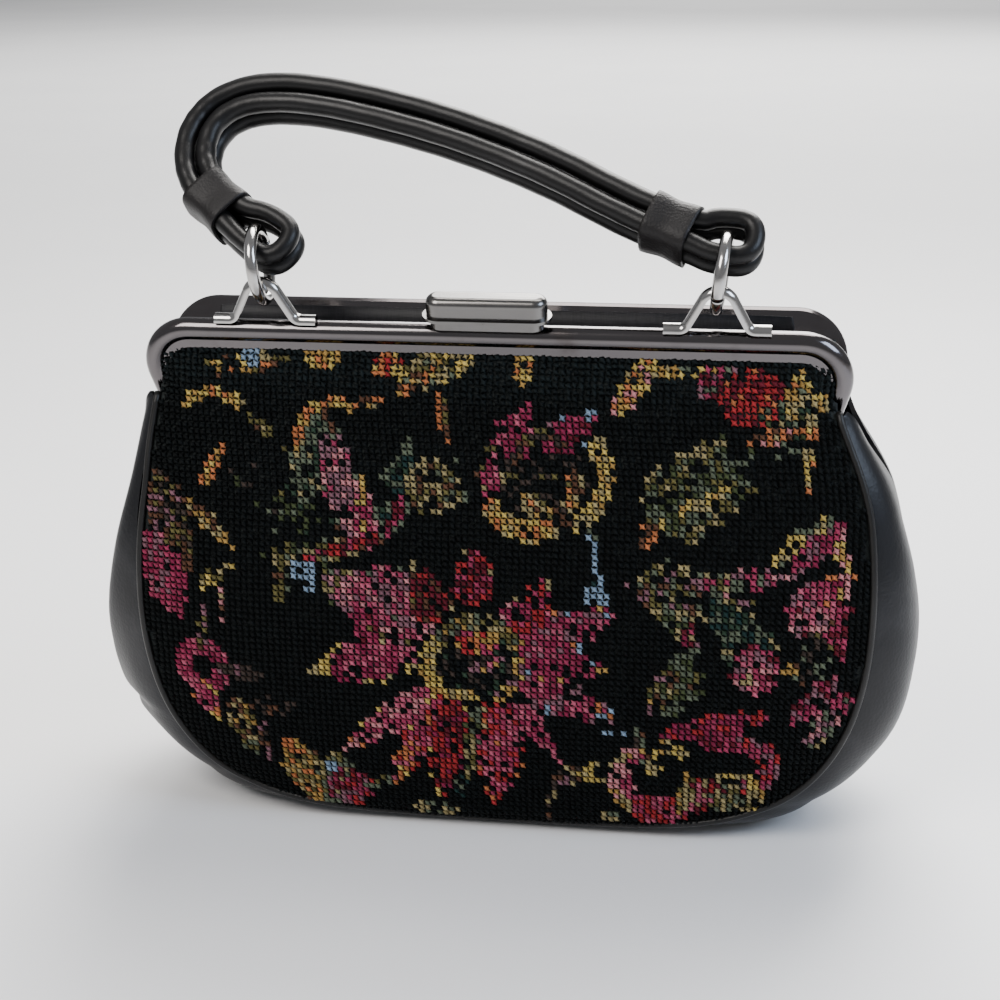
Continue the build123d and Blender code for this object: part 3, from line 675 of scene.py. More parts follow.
# %% Roses, curls and sprays of the front
def front_print(work):
    """The front panel, from its middle outwards."""
    # the rose above the middle
    work.spot(20, 129, 15, 13, "bark olive bark", 0.30)
    work.lens(6, 134, 62, 19, 15, "magenta rose pink magenta", "rose mauve", 0.2, blunt=0.6)
    work.lens(20, 136, 38, 21, 12, "magenta rose magenta wine", "sky mauve rose", 0.2)
    work.lens(4, 119, 96, 21, 8, "rose pink magenta", "straw olive", 0.2)
    work.arc(22, 129, 17.5, 6.0, -62, 42, "yellow ochre straw yellow", 0.95)
    work.arc(16, 128, 16.0, 6.5, 205, 300, "ochre yellow straw orange", 0.95)
    work.arc(22, 126, 8.5, 5.0, 190, 400, "ochre straw orange brown", 0.85)
    work.arc(18, 133, 8.0, 4.0, 30, 200, "brown bark olive", 0.7)
    work.lens(22, 116, 335, 10, 6, "orange brown straw")
    # the iris on the upper left
    work.lens(-60, 116, 84, 32, 13, "sage fern sage straw", "fern sage", 0.2, 0.8)
    work.lens(-40, 105, 112, 44, 14, "mauve rose blush mauve", "sage brown", 0.2, 0.9, bend=-0.08)
    work.lens(-37, 104, 98, 24, 7, "rose pink magenta", "blush", 0.2)
    work.arc(-50, 137, 12.5, 3.6, 60, 190, "yellow ochre orange", 0.95)
    work.lens(-47, 148, 14, 16, 4.6, "orange brown ochre straw")
    work.lens(-32, 108, 76, 34, 12, "teal fern sage teal", "sage", 0.2, 0.8)
    work.lens(-33, 104, 68, 26, 4.4, "rose magenta wine", keep=0.95)
    work.lens(-39, 110, 96, 20, 3.4, "yellow ochre", keep=0.8)
    work.sprig(-30, 120, 18, 24, 3, 13, "olive straw sage brown", "straw", 0.72)
    # the leaf spray under it
    work.lens(-74, 100, 8, 40, 9, "sage olive moss straw", "brown straw", 0.25, 0.75)
    work.lens(-60, 101, 14, 32, 5, "red wine rose brown", keep=0.85)
    work.lens(-66, 99, 262, 17, 6, "sage brown olive", keep=0.7)
    work.lens(-52, 100, 284, 17, 6, "sage straw moss", keep=0.75)
    work.lens(-38, 101, 276, 15, 5, "sage moss straw", keep=0.7)
    work.spot(-60, 97, 4.2, 3.4, "sky sky sage", 0.9)
    work.spot(-57, 93, 2.4, 4.4, "sky", 0.9)
    work.sprig(-48, 112, 172, 22, 2, 10, "sage moss fern", "", 0.5)
    # fragments cut off by the frame
    work.lens(-96, 159, 6, 30, 7, "ochre orange yellow", "brown olive", 0.3, 0.8)
    work.spot(-78, 163, 5, 3, "sky straw", 0.8)
    work.spot(-55, 163, 6, 3.4, "orange yellow ochre", 0.9)
    work.spot(-33, 161, 5.4, 4.2, "yellow orange red", 0.9)
    work.lens(-29, 157, 16, 26, 12, "olive straw sage yellow", "yellow straw", 0.25, 0.95)
    work.lens(-30, 151, 40, 20, 5, "ochre orange brown", keep=0.85)
    work.lens(-17, 155, 288, 18, 5, "brown orange olive", keep=0.7)
    work.spot(12, 161, 3.6, 5.4, "ochre yellow orange", 0.9)
    work.lens(41, 148, 52, 26, 9, "orange ochre yellow blush", "yellow straw", 0.2, 0.95)
    work.lens(53, 161, 2, 24, 5, "yellow straw ochre sage", keep=0.95)
    work.spot(75, 158, 8, 6, "wine rose mauve sage", 0.85)
    work.spot(86, 154, 11, 9, "red red wine orange", 0.97)
    work.lens(98, 148, 78, 17, 8, "yellow orange ochre", keep=0.95)
    work.sprig(84, 137, 36, 26, 3, 12, "sage fern moss straw", "sage", 0.72)
    work.lens(104, 152, 270, 26, 4.6, "yellow straw orange", keep=0.9)
    work.arc(103, 149, 6.0, 3.6, 0, 200, "yellow ochre straw", 0.9)
    work.lens(84, 141, 12, 18, 5, "blush orange brown", keep=0.8)
    # the left edge
    work.lens(-112, 126, 292, 36, 15, "brown mauve bark olive", "brown", 0.2, 0.85)
    work.lens(-100, 118, 318, 24, 6, "straw ochre brown", keep=0.85)
    work.lens(-114, 106, 292, 32, 17, "magenta rose mauve rose", "pink rose", 0.2, 0.95)
    work.lens(-96, 88, 36, 18, 6, "yellow straw olive", keep=0.8)
    work.lens(-88, 90, 268, 14, 4.4, "straw brown blush", keep=0.7)
    work.arc(-92, 134, 17, 3.6, 52, 128, "yellow orange ochre", 0.95)
    work.lens(-84, 150, 320, 30, 4.2, "brown straw olive", keep=0.62)
    work.lens(-95, 121, 62, 17, 5.4, "yellow ochre orange", keep=0.95)
    work.sprig(-88, 128, -24, 26, 3, 9, "moss bark olive", "", 0.35)
    work.arc(-96, 60, 7.2, 6.2, 0, 360, "rose magenta pink rose", 0.97)
    work.lens(-92, 60, 352, 18, 6, "rose mauve bark", "bark", 0.35, 0.85)
    work.lens(-96, 66, 84, 17, 6, "brown mauve olive", keep=0.7)
    work.lens(-98, 54, 292, 16, 9, "pink rose magenta", "orange yellow", 0.25, 0.97)
    work.lens(-86, 49, 285, 24, 11, "ochre straw brown olive", "olive sage", 0.25, 0.9)
    work.lens(-80, 46, 4, 17, 9, "bark brown", keep=0.75)
    work.lens(-76, 42, 272, 22, 4, "brown bark mauve", keep=0.7)
    # the lower left bud
    work.lens(-66, 33, 286, 30, 16, "straw ochre olive orange", "ochre brown", 0.2, 0.95)
    work.lens(-50, 30, 262, 26, 14, "sage olive straw sage", "sage", 0.2, 0.9)
    work.lens(-70, 33, 330, 12, 4.4, "orange yellow", keep=0.9)
    work.spot(-47, 15, 9, 8, "red wine rose mauve", 0.95)
    work.lens(-42, 15, 24, 16, 6, "sage olive", keep=0.8)
    work.spot(-53, 24, 2.2, 2.8, "sky", 0.9)
    work.spot(-17, 8, 8, 3, "sage straw", 0.7)
    work.sprig(-6, 12, 118, 16, 2, 9, "sage teal moss", "", 0.5)
    # the right-hand sprays
    work.sprig(48, 112, 34, 40, 4, 19, "sage moss olive sage", "straw olive", 0.75)
    work.lens(56, 114, 30, 30, 5, "straw yellow ochre", keep=0.7)
    work.spot(54, 112, 4, 4, "orange brown", 0.9)
    work.sprig(44, 97, -6, 38, 4, 13, "olive brown sage mauve", "straw", 0.72)
    work.lens(60, 93, 300, 22, 10, "sage straw sage moss", "mauve", 0.2, 0.85)
    work.lens(76, 95, 284, 26, 9, "fern teal sage", "straw sage", 0.25, 0.85)
    work.lens(72, 97, 8, 28, 8, "mauve rose sage", "straw blush", 0.2, 0.8)
    work.lens(74, 90, 330, 28, 11, "fern sage teal", "straw", 0.2, 0.85)
    work.lens(70, 86, 250, 14, 4.4, "rose wine magenta", keep=0.9)
    work.lens(35, 117, 281, 26, 2.8, "sky sky sage", keep=0.85)
    work.spot(38, 92, 3.6, 5.0, "sky sky teal", 0.95)
    work.lens(33, 81, 48, 12, 4, "straw ochre yellow", keep=0.9)
    work.lens(39, 43, 8, 15, 3.2, "sky sky mauve", keep=0.9)
    # the right edge
    work.lens(93, 104, 38, 26, 8, "yellow straw sage", "sage", 0.2, 0.85)
    work.lens(99, 101, 44, 25, 9, "rose magenta mauve rose", keep=0.97)
    work.lens(97, 90, 26, 26, 9, "rose magenta pink mauve", "yellow orange", 0.2, 0.95)
    work.lens(115, 116, 274, 26, 5, "ochre yellow blush", keep=0.85)
    work.lens(99, 84, 18, 22, 11, "blush pink mauve pink", "rose wine", 0.25, 0.95)
    work.lens(113, 86, 290, 14, 8, "rose wine", keep=0.9)
    work.arc(90, 69, 5.6, 6.0, 0, 360, "rose wine mauve pink", 0.92)
    work.lens(82, 64, 22, 15, 6, "straw blush rose", keep=0.9)
    work.lens(97, 73, 320, 9, 5, "ochre straw", keep=0.8)
    work.sprig(102, 60, 66, 26, 3, 9, "bark olive brown", "sage", 0.6)
    work.lens(102, 50, 52, 24, 9, "rose mauve magenta wine", "mauve pink", 0.2, 0.9)
    work.lens(108, 40, 62, 24, 8, "mauve blush sage", "sage straw", 0.2, 0.8)
    work.lens(114, 56, 24, 9, 8, "rose wine rose", keep=0.95)
    # the lower right rose
    work.lens(60, 44, 8, 38, 10, "magenta rose red magenta", "red rose", 0.2, 0.97, bend=0.12)
    work.spot(79, 42, 7, 4.6, "magenta wine rose", 0.95)
    work.arc(88, 33, 8.4, 7.4, -105, 110, "rose red mauve rose", 0.95)
    work.arc(60, 25, 15, 5.0, 108, 240, "ochre blush straw", 0.9)
    work.arc(60, 26, 11, 4.6, 120, 262, "pink blush rose", 0.9)
    work.arc(62, 34, 5.4, 4.6, 10, 250, "straw ochre yellow", 0.9)
    work.spot(60, 13, 10, 7, "red rose pink red", 0.95)
    work.spot(74, 20, 9, 8, "red pink wine straw", 0.95)
    work.lens(70, 30, 262, 20, 6, "ochre straw olive", keep=0.9)
    work.spot(84, 19, 7.5, 6.5, "olive sage straw", 0.85)
    work.arc(84, 20, 9.0, 3.6, -60, 130, "yellow straw ochre", 0.85)
    work.lens(57, 49, 64, 30, 14, "brown olive sage mauve", "sage moss", 0.3, 0.85)
    work.lens(56, 56, 40, 18, 6, "ochre straw brown", keep=0.75)
    work.sprig(62, 50, 72, 22, 2, 11, "sage olive moss", "", 0.7)
    work.lens(52, 47, 282, 16, 5, "bark brown sage", keep=0.7)
    # small curls at the foot
    work.lens(24, 22, 30, 18, 7, "brown bark mauve", "straw yellow", 0.3, 0.9)
    work.lens(30, 28, 340, 14, 4, "straw yellow", keep=0.9)
    work.lens(25, 26, 262, 22, 3.2, "bark brown straw", keep=0.8)
    work.spot(44, 9, 3.6, 3, "straw sage", 0.9)
    open_flower(work, -2.0, 67.0)


# %% Flowers of the back
def back_print(work):
    """The back panel: the same garden, scattered more evenly."""
    open_flower(work, 14.0, 78.0)
    for x, z in ((-68, 112), (84, 42), (-28, 26)):
        work.arc(x, z, 13, 7, 0, 360, "rose magenta pink ochre", 0.9)
        work.arc(x, z, 6, 5, 30, 300, "ochre straw orange", 0.9)
        for turn in (20, 140, 260):
            out_x, out_z = 14 * math.cos(math.radians(turn)), 14 * math.sin(math.radians(turn))
            work.lens(x + out_x, z + out_z, turn, 18, 9, "sage moss olive", "straw", 0.2, 0.8)
    sprays = ((-98, 72, 70), (-70, 52, 160), (58, 116, 40), (92, 88, 100), (44, 18, 20), (-8, 130, 60),
              (-100, 134, -30), (96, 134, 200), (-60, 150, 10), (20, 146, 170))
    for x, z, turn in sprays:
        work.sprig(x, z, turn, 28, 3, 13, "sage moss fern olive", "straw olive", 0.7)
        work.spot(x, z, 5.5, 4.5, "rose orange ochre", 0.9)


print("prints ready")

# %% [markdown]
# ## The tapestry panels: canvas and cross stitches
# A panel is stiff canvas with a wool cross stitch at every thread crossing. The canvas is one
# four-sided patch: its top edge, two sides and foot are the panel's own outline, and the points
# between them are blended from those four edges. The stitches stand on rows that are evenly
# spaced along the cloth, and a Geometry Nodes tree sets a small crossed pair of strands on each
# point, so eight thousand stitches are one short tree.

# %% Canvas patch
CANVAS_THICK = 1.3
CANVAS_UNDER = 0.9       # the canvas lies this far under the panel's surface
SIDE_SHARE = 0.66        # share of the outline's half that is the patch's side


def canvas_grid(side, across=121, down=81):
    """Points of one panel's canvas, side is -1 for the front and 1 for the back."""
    turn = int(len(edge_right) * SIDE_SHARE)
    right = evenly(edge_right[:turn + 1], down)
    foot_right = evenly(edge_right[turn:], across // 2 + 1)
    foot = np.concatenate([foot_right * (-1, 1), foot_right[::-1][1:]])
    left = right * (-1, 1)
    top = np.linspace(left[0], right[0], across)
    u, v = np.linspace(0, 1, across)[None, :, None], np.linspace(0, 1, down)[:, None, None]
    patch = (1 - v) * top[None] + v * foot[None] + (1 - u) * left[:, None] + u * right[:, None]
    patch -= (1 - u) * (1 - v) * top[0] + u * (1 - v) * top[-1] + (1 - u) * v * foot[0] + u * v * foot[-1]
    x, z = patch[..., 0], patch[..., 1]
    return np.stack([x + slump(z), side * (panel_depth(x, z) - CANVAS_UNDER), z], axis=2) * MM


# %% Rows of stitches
STITCH = 2.12            # from one stitch to the next
STITCH_ROOM = 1.5        # left free at the panel's edge, under the piping
STITCH_SUNK = 0.35       # the middle of a stitch lies this far under the panel's surface
STITCH_DRIFT = 0.10      # how far a stitch may stand off its row


def stitch_places(side, seed):
    """For every stitch: its place on the flat print and on the bag, facing, size and looseness."""
    z_fine = np.linspace(3.2, 166.0, 800)
    depth = panel_depth(np.zeros_like(z_fine), z_fine)
    run = np.concatenate([[0], np.cumsum(np.hypot(np.diff(z_fine), np.diff(depth)))])
    rows = np.interp(np.arange(0, run[-1], STITCH), run, z_fine)
    edge_z, edge_x = edge_right[::-1, 1], edge_right[::-1, 0]
    dice = np.random.default_rng(seed)
    flat, places, facings = [], [], []
    for z in rows:
        limit = np.interp(z, edge_z, edge_x) - STITCH_ROOM
        if limit < STITCH:
            continue
        x_fine = np.linspace(0, limit, 200)
        depth = panel_depth(x_fine, np.full_like(x_fine, z))
        run = np.concatenate([[0], np.cumsum(np.hypot(np.diff(x_fine), np.diff(depth)))])
        half = np.interp((np.arange(int(run[-1] / STITCH + 0.5)) + 0.5) * STITCH, run, x_fine)
        x = np.concatenate([-half[::-1], half])
        z_row = z + dice.normal(0, STITCH_DRIFT, len(x))
        x = x + dice.normal(0, STITCH_DRIFT, len(x))
        step = 0.5
        y = panel_depth(x, z_row)
        slope_x = (panel_depth(x + step, z_row) - panel_depth(x - step, z_row)) / (2 * step)
        slope_z = (panel_depth(x, z_row + step) - panel_depth(x, z_row - step)) / (2 * step)
        facing = np.stack([-slope_x, side * np.ones_like(x), -slope_z], axis=1)
        facings.append(facing / np.linalg.norm(facing, axis=1, keepdims=True))
        slumped = x + slump(z_row)
        places.append(np.stack([slumped, side * (y - STITCH_SUNK), z_row], axis=1) * MM)
        flat.append(np.stack([slumped, z_row], axis=1))
    flat, places, facings = (np.concatenate(part) for part in (flat, places, facings))
    loose = soft_step(142.0, 160.0, flat[:, 1])
    size = dice.uniform(0.90, 1.06, len(flat)) * (1 + 0.16 * loose * dice.uniform(-1, 1, len(flat)))
    return flat, places, facings, size, loose


print("one stitch in mm:", STITCH)


# %% The stitch tree
STRAND_LIFT = 0.35       # how far the upper strand rides over the lower, as a share of its thickness


def stitch_tree():
    """Geometry Nodes: a cross of two wool strands on every point, turned to face out of the cloth."""
    tree = bpy.data.node_groups.new("cross stitches", "GeometryNodeTree")
    tree.interface.new_socket(name="Geometry", in_out="OUTPUT", socket_type="NodeSocketGeometry")
    sockets = {}
    for name, kind in (("Geometry", "Geometry"), ("Strand length", "Float"), ("Strand thickness", "Float"),
                       ("Unevenness", "Float"), ("Seed", "Int"), ("Wool", "Material")):
        socket = tree.interface.new_socket(name=name, in_out="INPUT", socket_type="NodeSocket" + kind)
        sockets[name] = socket.identifier

    def add(kind, settings=None, inputs=None):
        node = tree.nodes.new(kind)
        for name, value in (settings or {}).items():
            setattr(node, name, value)
        for key, value in (inputs or {}).items():
            if isinstance(value, bpy.types.NodeSocket):
                tree.links.new(value, node.inputs[key])
            else:
                node.inputs[key].default_value = value
        return node

    given = add("NodeGroupInput").outputs
    thickness, slant = given["Strand thickness"], math.radians(45)
    bead = add("GeometryNodeMeshUVSphere", None, {"Segments": 5, "Rings": 2, "Radius": 0.5}).outputs["Mesh"]
    size = add("ShaderNodeCombineXYZ", None, {"X": given["Strand length"], "Y": thickness, "Z": thickness})
    lift = add("ShaderNodeCombineXYZ", None, {"Z": thickness})
    lift = add("ShaderNodeVectorMath", {"operation": "SCALE"}, {0: lift.outputs[0], "Scale": STRAND_LIFT})
    strands = add("GeometryNodeJoinGeometry")
    for turn, raised in ((slant, False), (-slant, True)):
        on_its_side = (0.0, math.radians(90), 0.0)
        lying = add("GeometryNodeTransform", None, {"Geometry": bead, "Rotation": on_its_side})
        strand = add("GeometryNodeTransform", None, {"Geometry": lying.outputs[0], "Scale": size.outputs[0]})
        inputs = {"Geometry": strand.outputs[0], "Rotation": (0.0, 0.0, turn)}
        turned = add("GeometryNodeTransform", None, inputs)
        if raised:
            tree.links.new(lift.outputs[0], turned.inputs["Translation"])
        tree.links.new(turned.outputs[0], strands.inputs[0])
    smooth = add("GeometryNodeSetShadeSmooth", None, {"Geometry": strands.outputs[0]})
    facing = add("GeometryNodeInputNamedAttribute", {"data_type": "FLOAT_VECTOR"}, {"Name": "facing"})
    aligned = add("FunctionNodeAlignRotationToVector", {"axis": "Z"}, {"Vector": facing.outputs["Attribute"]})
    loose = add("GeometryNodeInputNamedAttribute", {"data_type": "FLOAT"}, {"Name": "loose"})
    chance = add("FunctionNodeRandomValue", {"data_type": "FLOAT"}, {2: -1.0, 3: 1.0, "Seed": given["Seed"]})
    multiply = {"operation": "MULTIPLY"}
    swing = add("ShaderNodeMath", multiply, {0: chance.outputs[1], 1: loose.outputs["Attribute"]})
    swing = add("ShaderNodeMath", multiply, {0: swing.outputs[0], 1: given["Unevenness"]})
    spin = add("ShaderNodeCombineXYZ", None, {"Z": swing.outputs[0]})
    spin = add("FunctionNodeEulerToRotation", None, {"Euler": spin.outputs[0]})
    turned = add("FunctionNodeRotateRotation", {"rotation_space": "LOCAL"},
                 {"Rotation": aligned.outputs[0], "Rotate By": spin.outputs[0]})
    scale = add("GeometryNodeInputNamedAttribute", {"data_type": "FLOAT"}, {"Name": "size"})
    placed = add("GeometryNodeInstanceOnPoints", None, {
        "Points": given["Geometry"], "Instance": smooth.outputs[0], "Rotation": turned.outputs[0],
        "Scale": scale.outputs["Attribute"]})
    real = add("GeometryNodeRealizeInstances", None, {"Geometry": placed.outputs[0]})
    dyed = add("GeometryNodeSetMaterial", None, {"Geometry": real.outputs[0], "Material": given["Wool"]})
    out = add("NodeGroupOutput")
    tree.links.new(dyed.outputs[0], out.inputs[0])
    return tree, sockets


STITCH_TREE, STITCH_INPUTS = stitch_tree()
STRAND_LENGTH, STRAND_THICK = 3.35, 1.5
LEAST_LOOSE = 0.25       # even a firm stitch lies a little askew


def stitch_cloth(name, places, facings, size, loose, colours, seed):
    """All the stitches of one panel as one plain mesh."""
    points = bpy.data.meshes.new(name + " points")
    points.from_pydata([tuple(place) for place in places], [], [])
    facts = (("facing", "FLOAT_VECTOR", "vector", facings), ("size", "FLOAT", "value", size),
             ("loose", "FLOAT", "value", LEAST_LOOSE + loose),
             ("thread", "FLOAT_COLOR", "color", np.insert(colours, 3, 1.0, axis=1)))
    for title, kind, key, values in facts:
        attribute = points.attributes.new(title, kind, "POINT")
        attribute.data.foreach_set(key, np.asarray(values, np.float32).ravel())
    holder = bpy.data.objects.new(name + " points", points)
    bpy.context.scene.collection.objects.link(holder)
    modifier = holder.modifiers.new("stitches", "NODES")
    modifier.node_group = STITCH_TREE
    values = {"Strand length": STRAND_LENGTH * MM, "Strand thickness": STRAND_THICK * MM,
              "Unevenness": 0.5, "Seed": seed, "Wool": wool}
    for title, value in values.items():
        modifier[STITCH_INPUTS[title]] = value
    ready = bpy.context.evaluated_depsgraph_get()
    mesh = bpy.data.meshes.new_from_object(holder.evaluated_get(ready), depsgraph=ready)
    bpy.data.objects.remove(holder)
    for title in ("facing", "size", "loose"):
        if title in mesh.attributes:
            mesh.attributes.remove(mesh.attributes[title])
    mesh.name = name
    piece = bpy.data.objects.new(name, mesh)
    bpy.context.scene.collection.objects.link(piece)
    return piece


def hang_on_leaf(piece):
    """Bakes the piece's placement into its mesh."""
    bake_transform(piece)


for side, label, seed, drawing in ((-1, "front", 7, front_print), (1, "back", 19, back_print)):
    cloth = sheet_from_grid(f"{label}_canvas", canvas_grid(side), CANVAS_THICK * MM, canvas)
    flat, places, facings, size, loose = stitch_places(side, seed)
    work = Needlework(flat[:, 0], flat[:, 1], seed)
    drawing(work)
    stitches = stitch_cloth(f"{label}_stitches", places, facings, size, loose, work.colour, seed)
    for piece in (cloth, stitches):
        hang_on_leaf(piece)
    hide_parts(f"{label}_panel")
    triangles = sum(len(face.vertices) - 2 for face in stitches.data.polygons)
    print(label, "stitches:", len(flat), "triangles:", triangles)

# %% [markdown]
# ## The leather gusset
# One long strip of soft black leather runs down one side, under the bag and up the other. Its
# cross section bulges past the panels' edges. Each point is found by going out from the panel's
# edge, square to it, until the pouch's surface is met. Folds are then pushed in one by one: a long
# soft ridge and a crease on the left, a fuller right side, and a pinch at the top where the
# leather is drawn in to the hinge. It is made as a front and a back half, which meet along the
# middle of the bag's side.

# %% Gusset surface
GUSSET_THICK = 1.6
SECTION_STEPS = 33       # points from a panel's edge to the middle of the side
FURTHEST, HALVINGS = 60.0, 34


def outward_reach(x, z, out_x, out_z, y):
    """How far to go from the edge, square to it, to meet the pouch's surface at depth y."""
    low, high = np.zeros_like(y), np.full_like(y, FURTHEST)
    for _ in range(HALVINGS):
        middle = (low + high) / 2
        at_x, at_z = x + out_x * middle, z + out_z * middle
        half_width, half_depth, squareness = pouch_size(np.maximum(at_z, 0.0))
        reached = np.abs(at_x / half_width) ** squareness + np.abs(y / half_depth) ** squareness
        inside = (reached < 1) & (at_z > 0)
        low, high = np.where(inside, middle, low), np.where(inside, high, middle)
    return (low + high) / 2


def edge_all_round(count):
    """The panel's edge from the upper left end over the foot to the upper right end."""
    lower = edge_right[edge_right[:, 1] < 150.0]
    line = np.concatenate([lower * (-1, 1), lower[::-1][1:]])
    return evenly(line, count)


NOTCH_TOP, NOTCH_FOOT = 150.0, 119.5      # the strip's end dips in a V between the leaves' legs


def gusset_grid(side):
    """Half of the strip, from the panel's edge to the middle of the bag's side."""
    edge = edge_all_round(361)
    run = np.gradient(edge, axis=0)
    run /= np.linalg.norm(run, axis=1, keepdims=True)
    out = np.stack([run[:, 1], -run[:, 0]], axis=1)
    out *= np.sign(np.einsum("ij,ij->i", out, edge - (0, 84.0)))[:, None]
    share = np.sin(np.linspace(1, 0, SECTION_STEPS) * math.pi / 2)
    x, z = edge[:, :1], edge[:, 1:]
    y = share[None, :] * panel_depth(x, z)
    high = soft_step(96.0, NOTCH_TOP, z)
    dip = high * (NOTCH_TOP - NOTCH_FOOT) * (1 - share[None, :]) ** 0.9
    at_z = z - dip + 0 * y
    edge_x = np.interp(at_z, edge_right[::-1, 1], edge_right[::-1, 0]) * np.sign(x)
    x = np.where(high > 0, edge_x, x)
    reach = outward_reach(x, at_z, out[:, :1] + 0 * y, out[:, 1:] + 0 * y, y)
    low_x, low_z = x + out[:, :1] * reach, np.maximum(at_z + out[:, 1:] * reach, 0.0)
    return np.stack([low_x, side * y, low_z], axis=2), share


def soften(grid, share):
    """Fullness, folds and pinch of the leather, in millimetres."""
    x, y, z = grid[..., 0], grid[..., 1], grid[..., 2]
    bulge = np.clip(1 - share[None, :] ** 3, 0, 1)
    left, right = x < 0, x > 0
    low_y = y / POUCH_HALF_DEPTH.max()
    # right: fuller below the middle
    push = right * 0.8 * bulge * np.exp(-((z - 62.0) / 38.0) ** 2)
    # left: a long ridge near the panel and the hollow beside it
    height = soft_step(18.0, 40.0, z) * (1 - soft_step(118.0, 140.0, z))
    wander = -0.62 + 0.10 * np.sin(z / 21.0)
    push += left * height * 2.2 * np.exp(-((low_y - wander) / 0.10) ** 2)
    push -= left * height * 2.6 * np.exp(-((low_y - wander - 0.26) / 0.13) ** 2)
    # left: the crease where the side folds over the fuller foot
    crease = np.exp(-((z - 44.0 - 9.0 * low_y) / 3.2) ** 2)
    push -= left * 2.4 * crease * bulge
    # both: soft unevenness
    push += bulge * (0.7 * np.sin(z / 13.0 + 2.2 * low_y) * np.cos(low_y * 3.0 + z / 29.0))
    # both: the pinch below the frame's feet
    push -= bulge * 4.2 * soft_step(118.0, 148.0, z)
    away = np.sign(x) * soft_step(6.0, 30.0, z)
    grid[..., 0] = x + push * away + slump(z)
    grid[..., 2] = np.maximum(z - 0.25 * push * (1 - soft_step(20.0, 60.0, z)) * (z > 1.0), 0.0)
    return grid


for side, label in ((-1, "front"), (1, "back")):
    grid, share = gusset_grid(side)
    grid = soften(grid, share)
    strip = sheet_from_grid(f"gusset_{label}_half", grid * MM, GUSSET_THICK * MM, gusset_leather)
    hang_on_leaf(strip)
    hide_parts("gusset")
    print(strip.name, "half width in mm:", round(float(np.abs(grid[..., 0]).max()), 1))

# %% [markdown]
# ## The piping
# A thin leather-covered cord is sewn into the seam between a panel and the gusset. It follows the
# panel's edge, a little proud of it, so it is a tube swept along that edge.

# %% Piping
PIPING_RADIUS = 1.15
for side, label in ((-1, "front"), (1, "back")):
    seam = edge_all_round(420)
    depth = panel_depth(seam[:, 0], seam[:, 1])
    x, z = seam[:, 0] * 1.003 + slump(seam[:, 1]), np.maximum(seam[:, 1], PIPING_RADIUS)
    path = np.stack([x, side * (depth + 0.1), z], axis=1)
    cord = tube(f"{label}_piping_cord", path * MM, PIPING_RADIUS * MM, 10, piping_leather)
    hang_on_leaf(cord)
    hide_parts(f"{label}_piping")
print("piping radius in mm:", PIPING_RADIUS)

# %% [markdown]
# ## The lining
# Inside, a thin black cloth is gathered in fine upright ribs and fixed to both leaves. It is a
# second, smaller pouch, made as two halves that meet at the sides.
# The ribs are real relief, because they show between the rails, and they are pressed flat where
# the cloth is glued to the metal.

# %% Lining
LINING_INSET, RIB_DEEP, RIB_POINTS = 3.1, 0.35, 6
LINING_THICK, LINING_ON_LEAF = 0.4, 0.1      # pressed thin where it is glued to the leaf
LINING_OFF_PLANE = 0.12                      # its outer face, out from the leaf's mating plane
LINING_FOOT, LINING_TALL = 5.0, 168.0        # above the floor, up to just under the rail
WALL_SHARE = 0.86                            # share of the rows that are wall, and the rest are floor
AROUND, UP = 901, 44                         # points round each half, and up it


def lining_grid(side):
    """One half of the lining, a rounded wall that runs down into a flat floor, and its thickness."""
    v = np.linspace(0, 1, UP)[:, None]
    angle = np.linspace(0, math.pi, AROUND)[None, :]
    z_wall = LINING_FOOT + LINING_TALL * np.clip((1 - v) / WALL_SHARE, 0, 1) + 0 * angle
    on_floor = v > WALL_SHARE
    shrink = np.where(on_floor, np.clip((1 - v) / (1 - WALL_SHARE), 0, 1) ** 0.8, 1.0)
    shrink = np.maximum(shrink, 0.02)
    half_width, half_depth, squareness = pouch_size(np.maximum(z_wall, 3.0))
    c, s = np.cos(angle), np.sin(angle)
    x = np.sign(c) * np.abs(c) ** (2 / squareness) * (half_width - LINING_INSET)
    y = np.abs(s) ** (2 / squareness) * (half_depth - LINING_INSET)
    near = soft_step(112.0, 150.0, z_wall)
    leaf = (z_wall - HINGE_Z) * math.tan(LEAF_TILT) + LINING_OFF_PLANE
    y = np.where(near > 0, y + (np.minimum(y, np.maximum(leaf, 0.0)) - y) * near, y)
    # the sides stop at the hinge, in a V
    side_share = soft_step(0.80, 1.0, np.abs(c))
    z = z_wall - near * side_share * np.maximum(z_wall - 121.0, 0) * (1 - np.clip(y / 30.0, 0, 1))
    x = x * (1 - 0.10 * near)
    rib = RIB_DEEP * np.cos(2 * math.pi * np.arange(AROUND)[None, :] / RIB_POINTS) * (z > 8)
    y = y + rib * np.abs(s) ** 0.5 * (1 - near)
    thick = LINING_THICK + (LINING_ON_LEAF - LINING_THICK) * near
    return np.stack([x * shrink + slump(z), side * y * shrink, z], axis=2), thick[..., None]


for side, label in ((-1, "front"), (1, "back")):
    grid, thick = lining_grid(side)
    cloth = sheet_from_grid(f"lining_{label}_half", grid * MM, thick * MM, ribbed_lining)
    hang_on_leaf(cloth)
    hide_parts("lining")
print("lining ribs round each half:", AROUND // RIB_POINTS)

# %% [markdown]
# ## The handle
# The handle is two soft leather tubes side by side, each one loop: over the top, round the right
# ring, back underneath and round the left ring. Near each ring a leather collar draws the four
# strands together. The tubes are swept along the loop, thinner in the eyes, with small wrinkles
# in the tight bend.

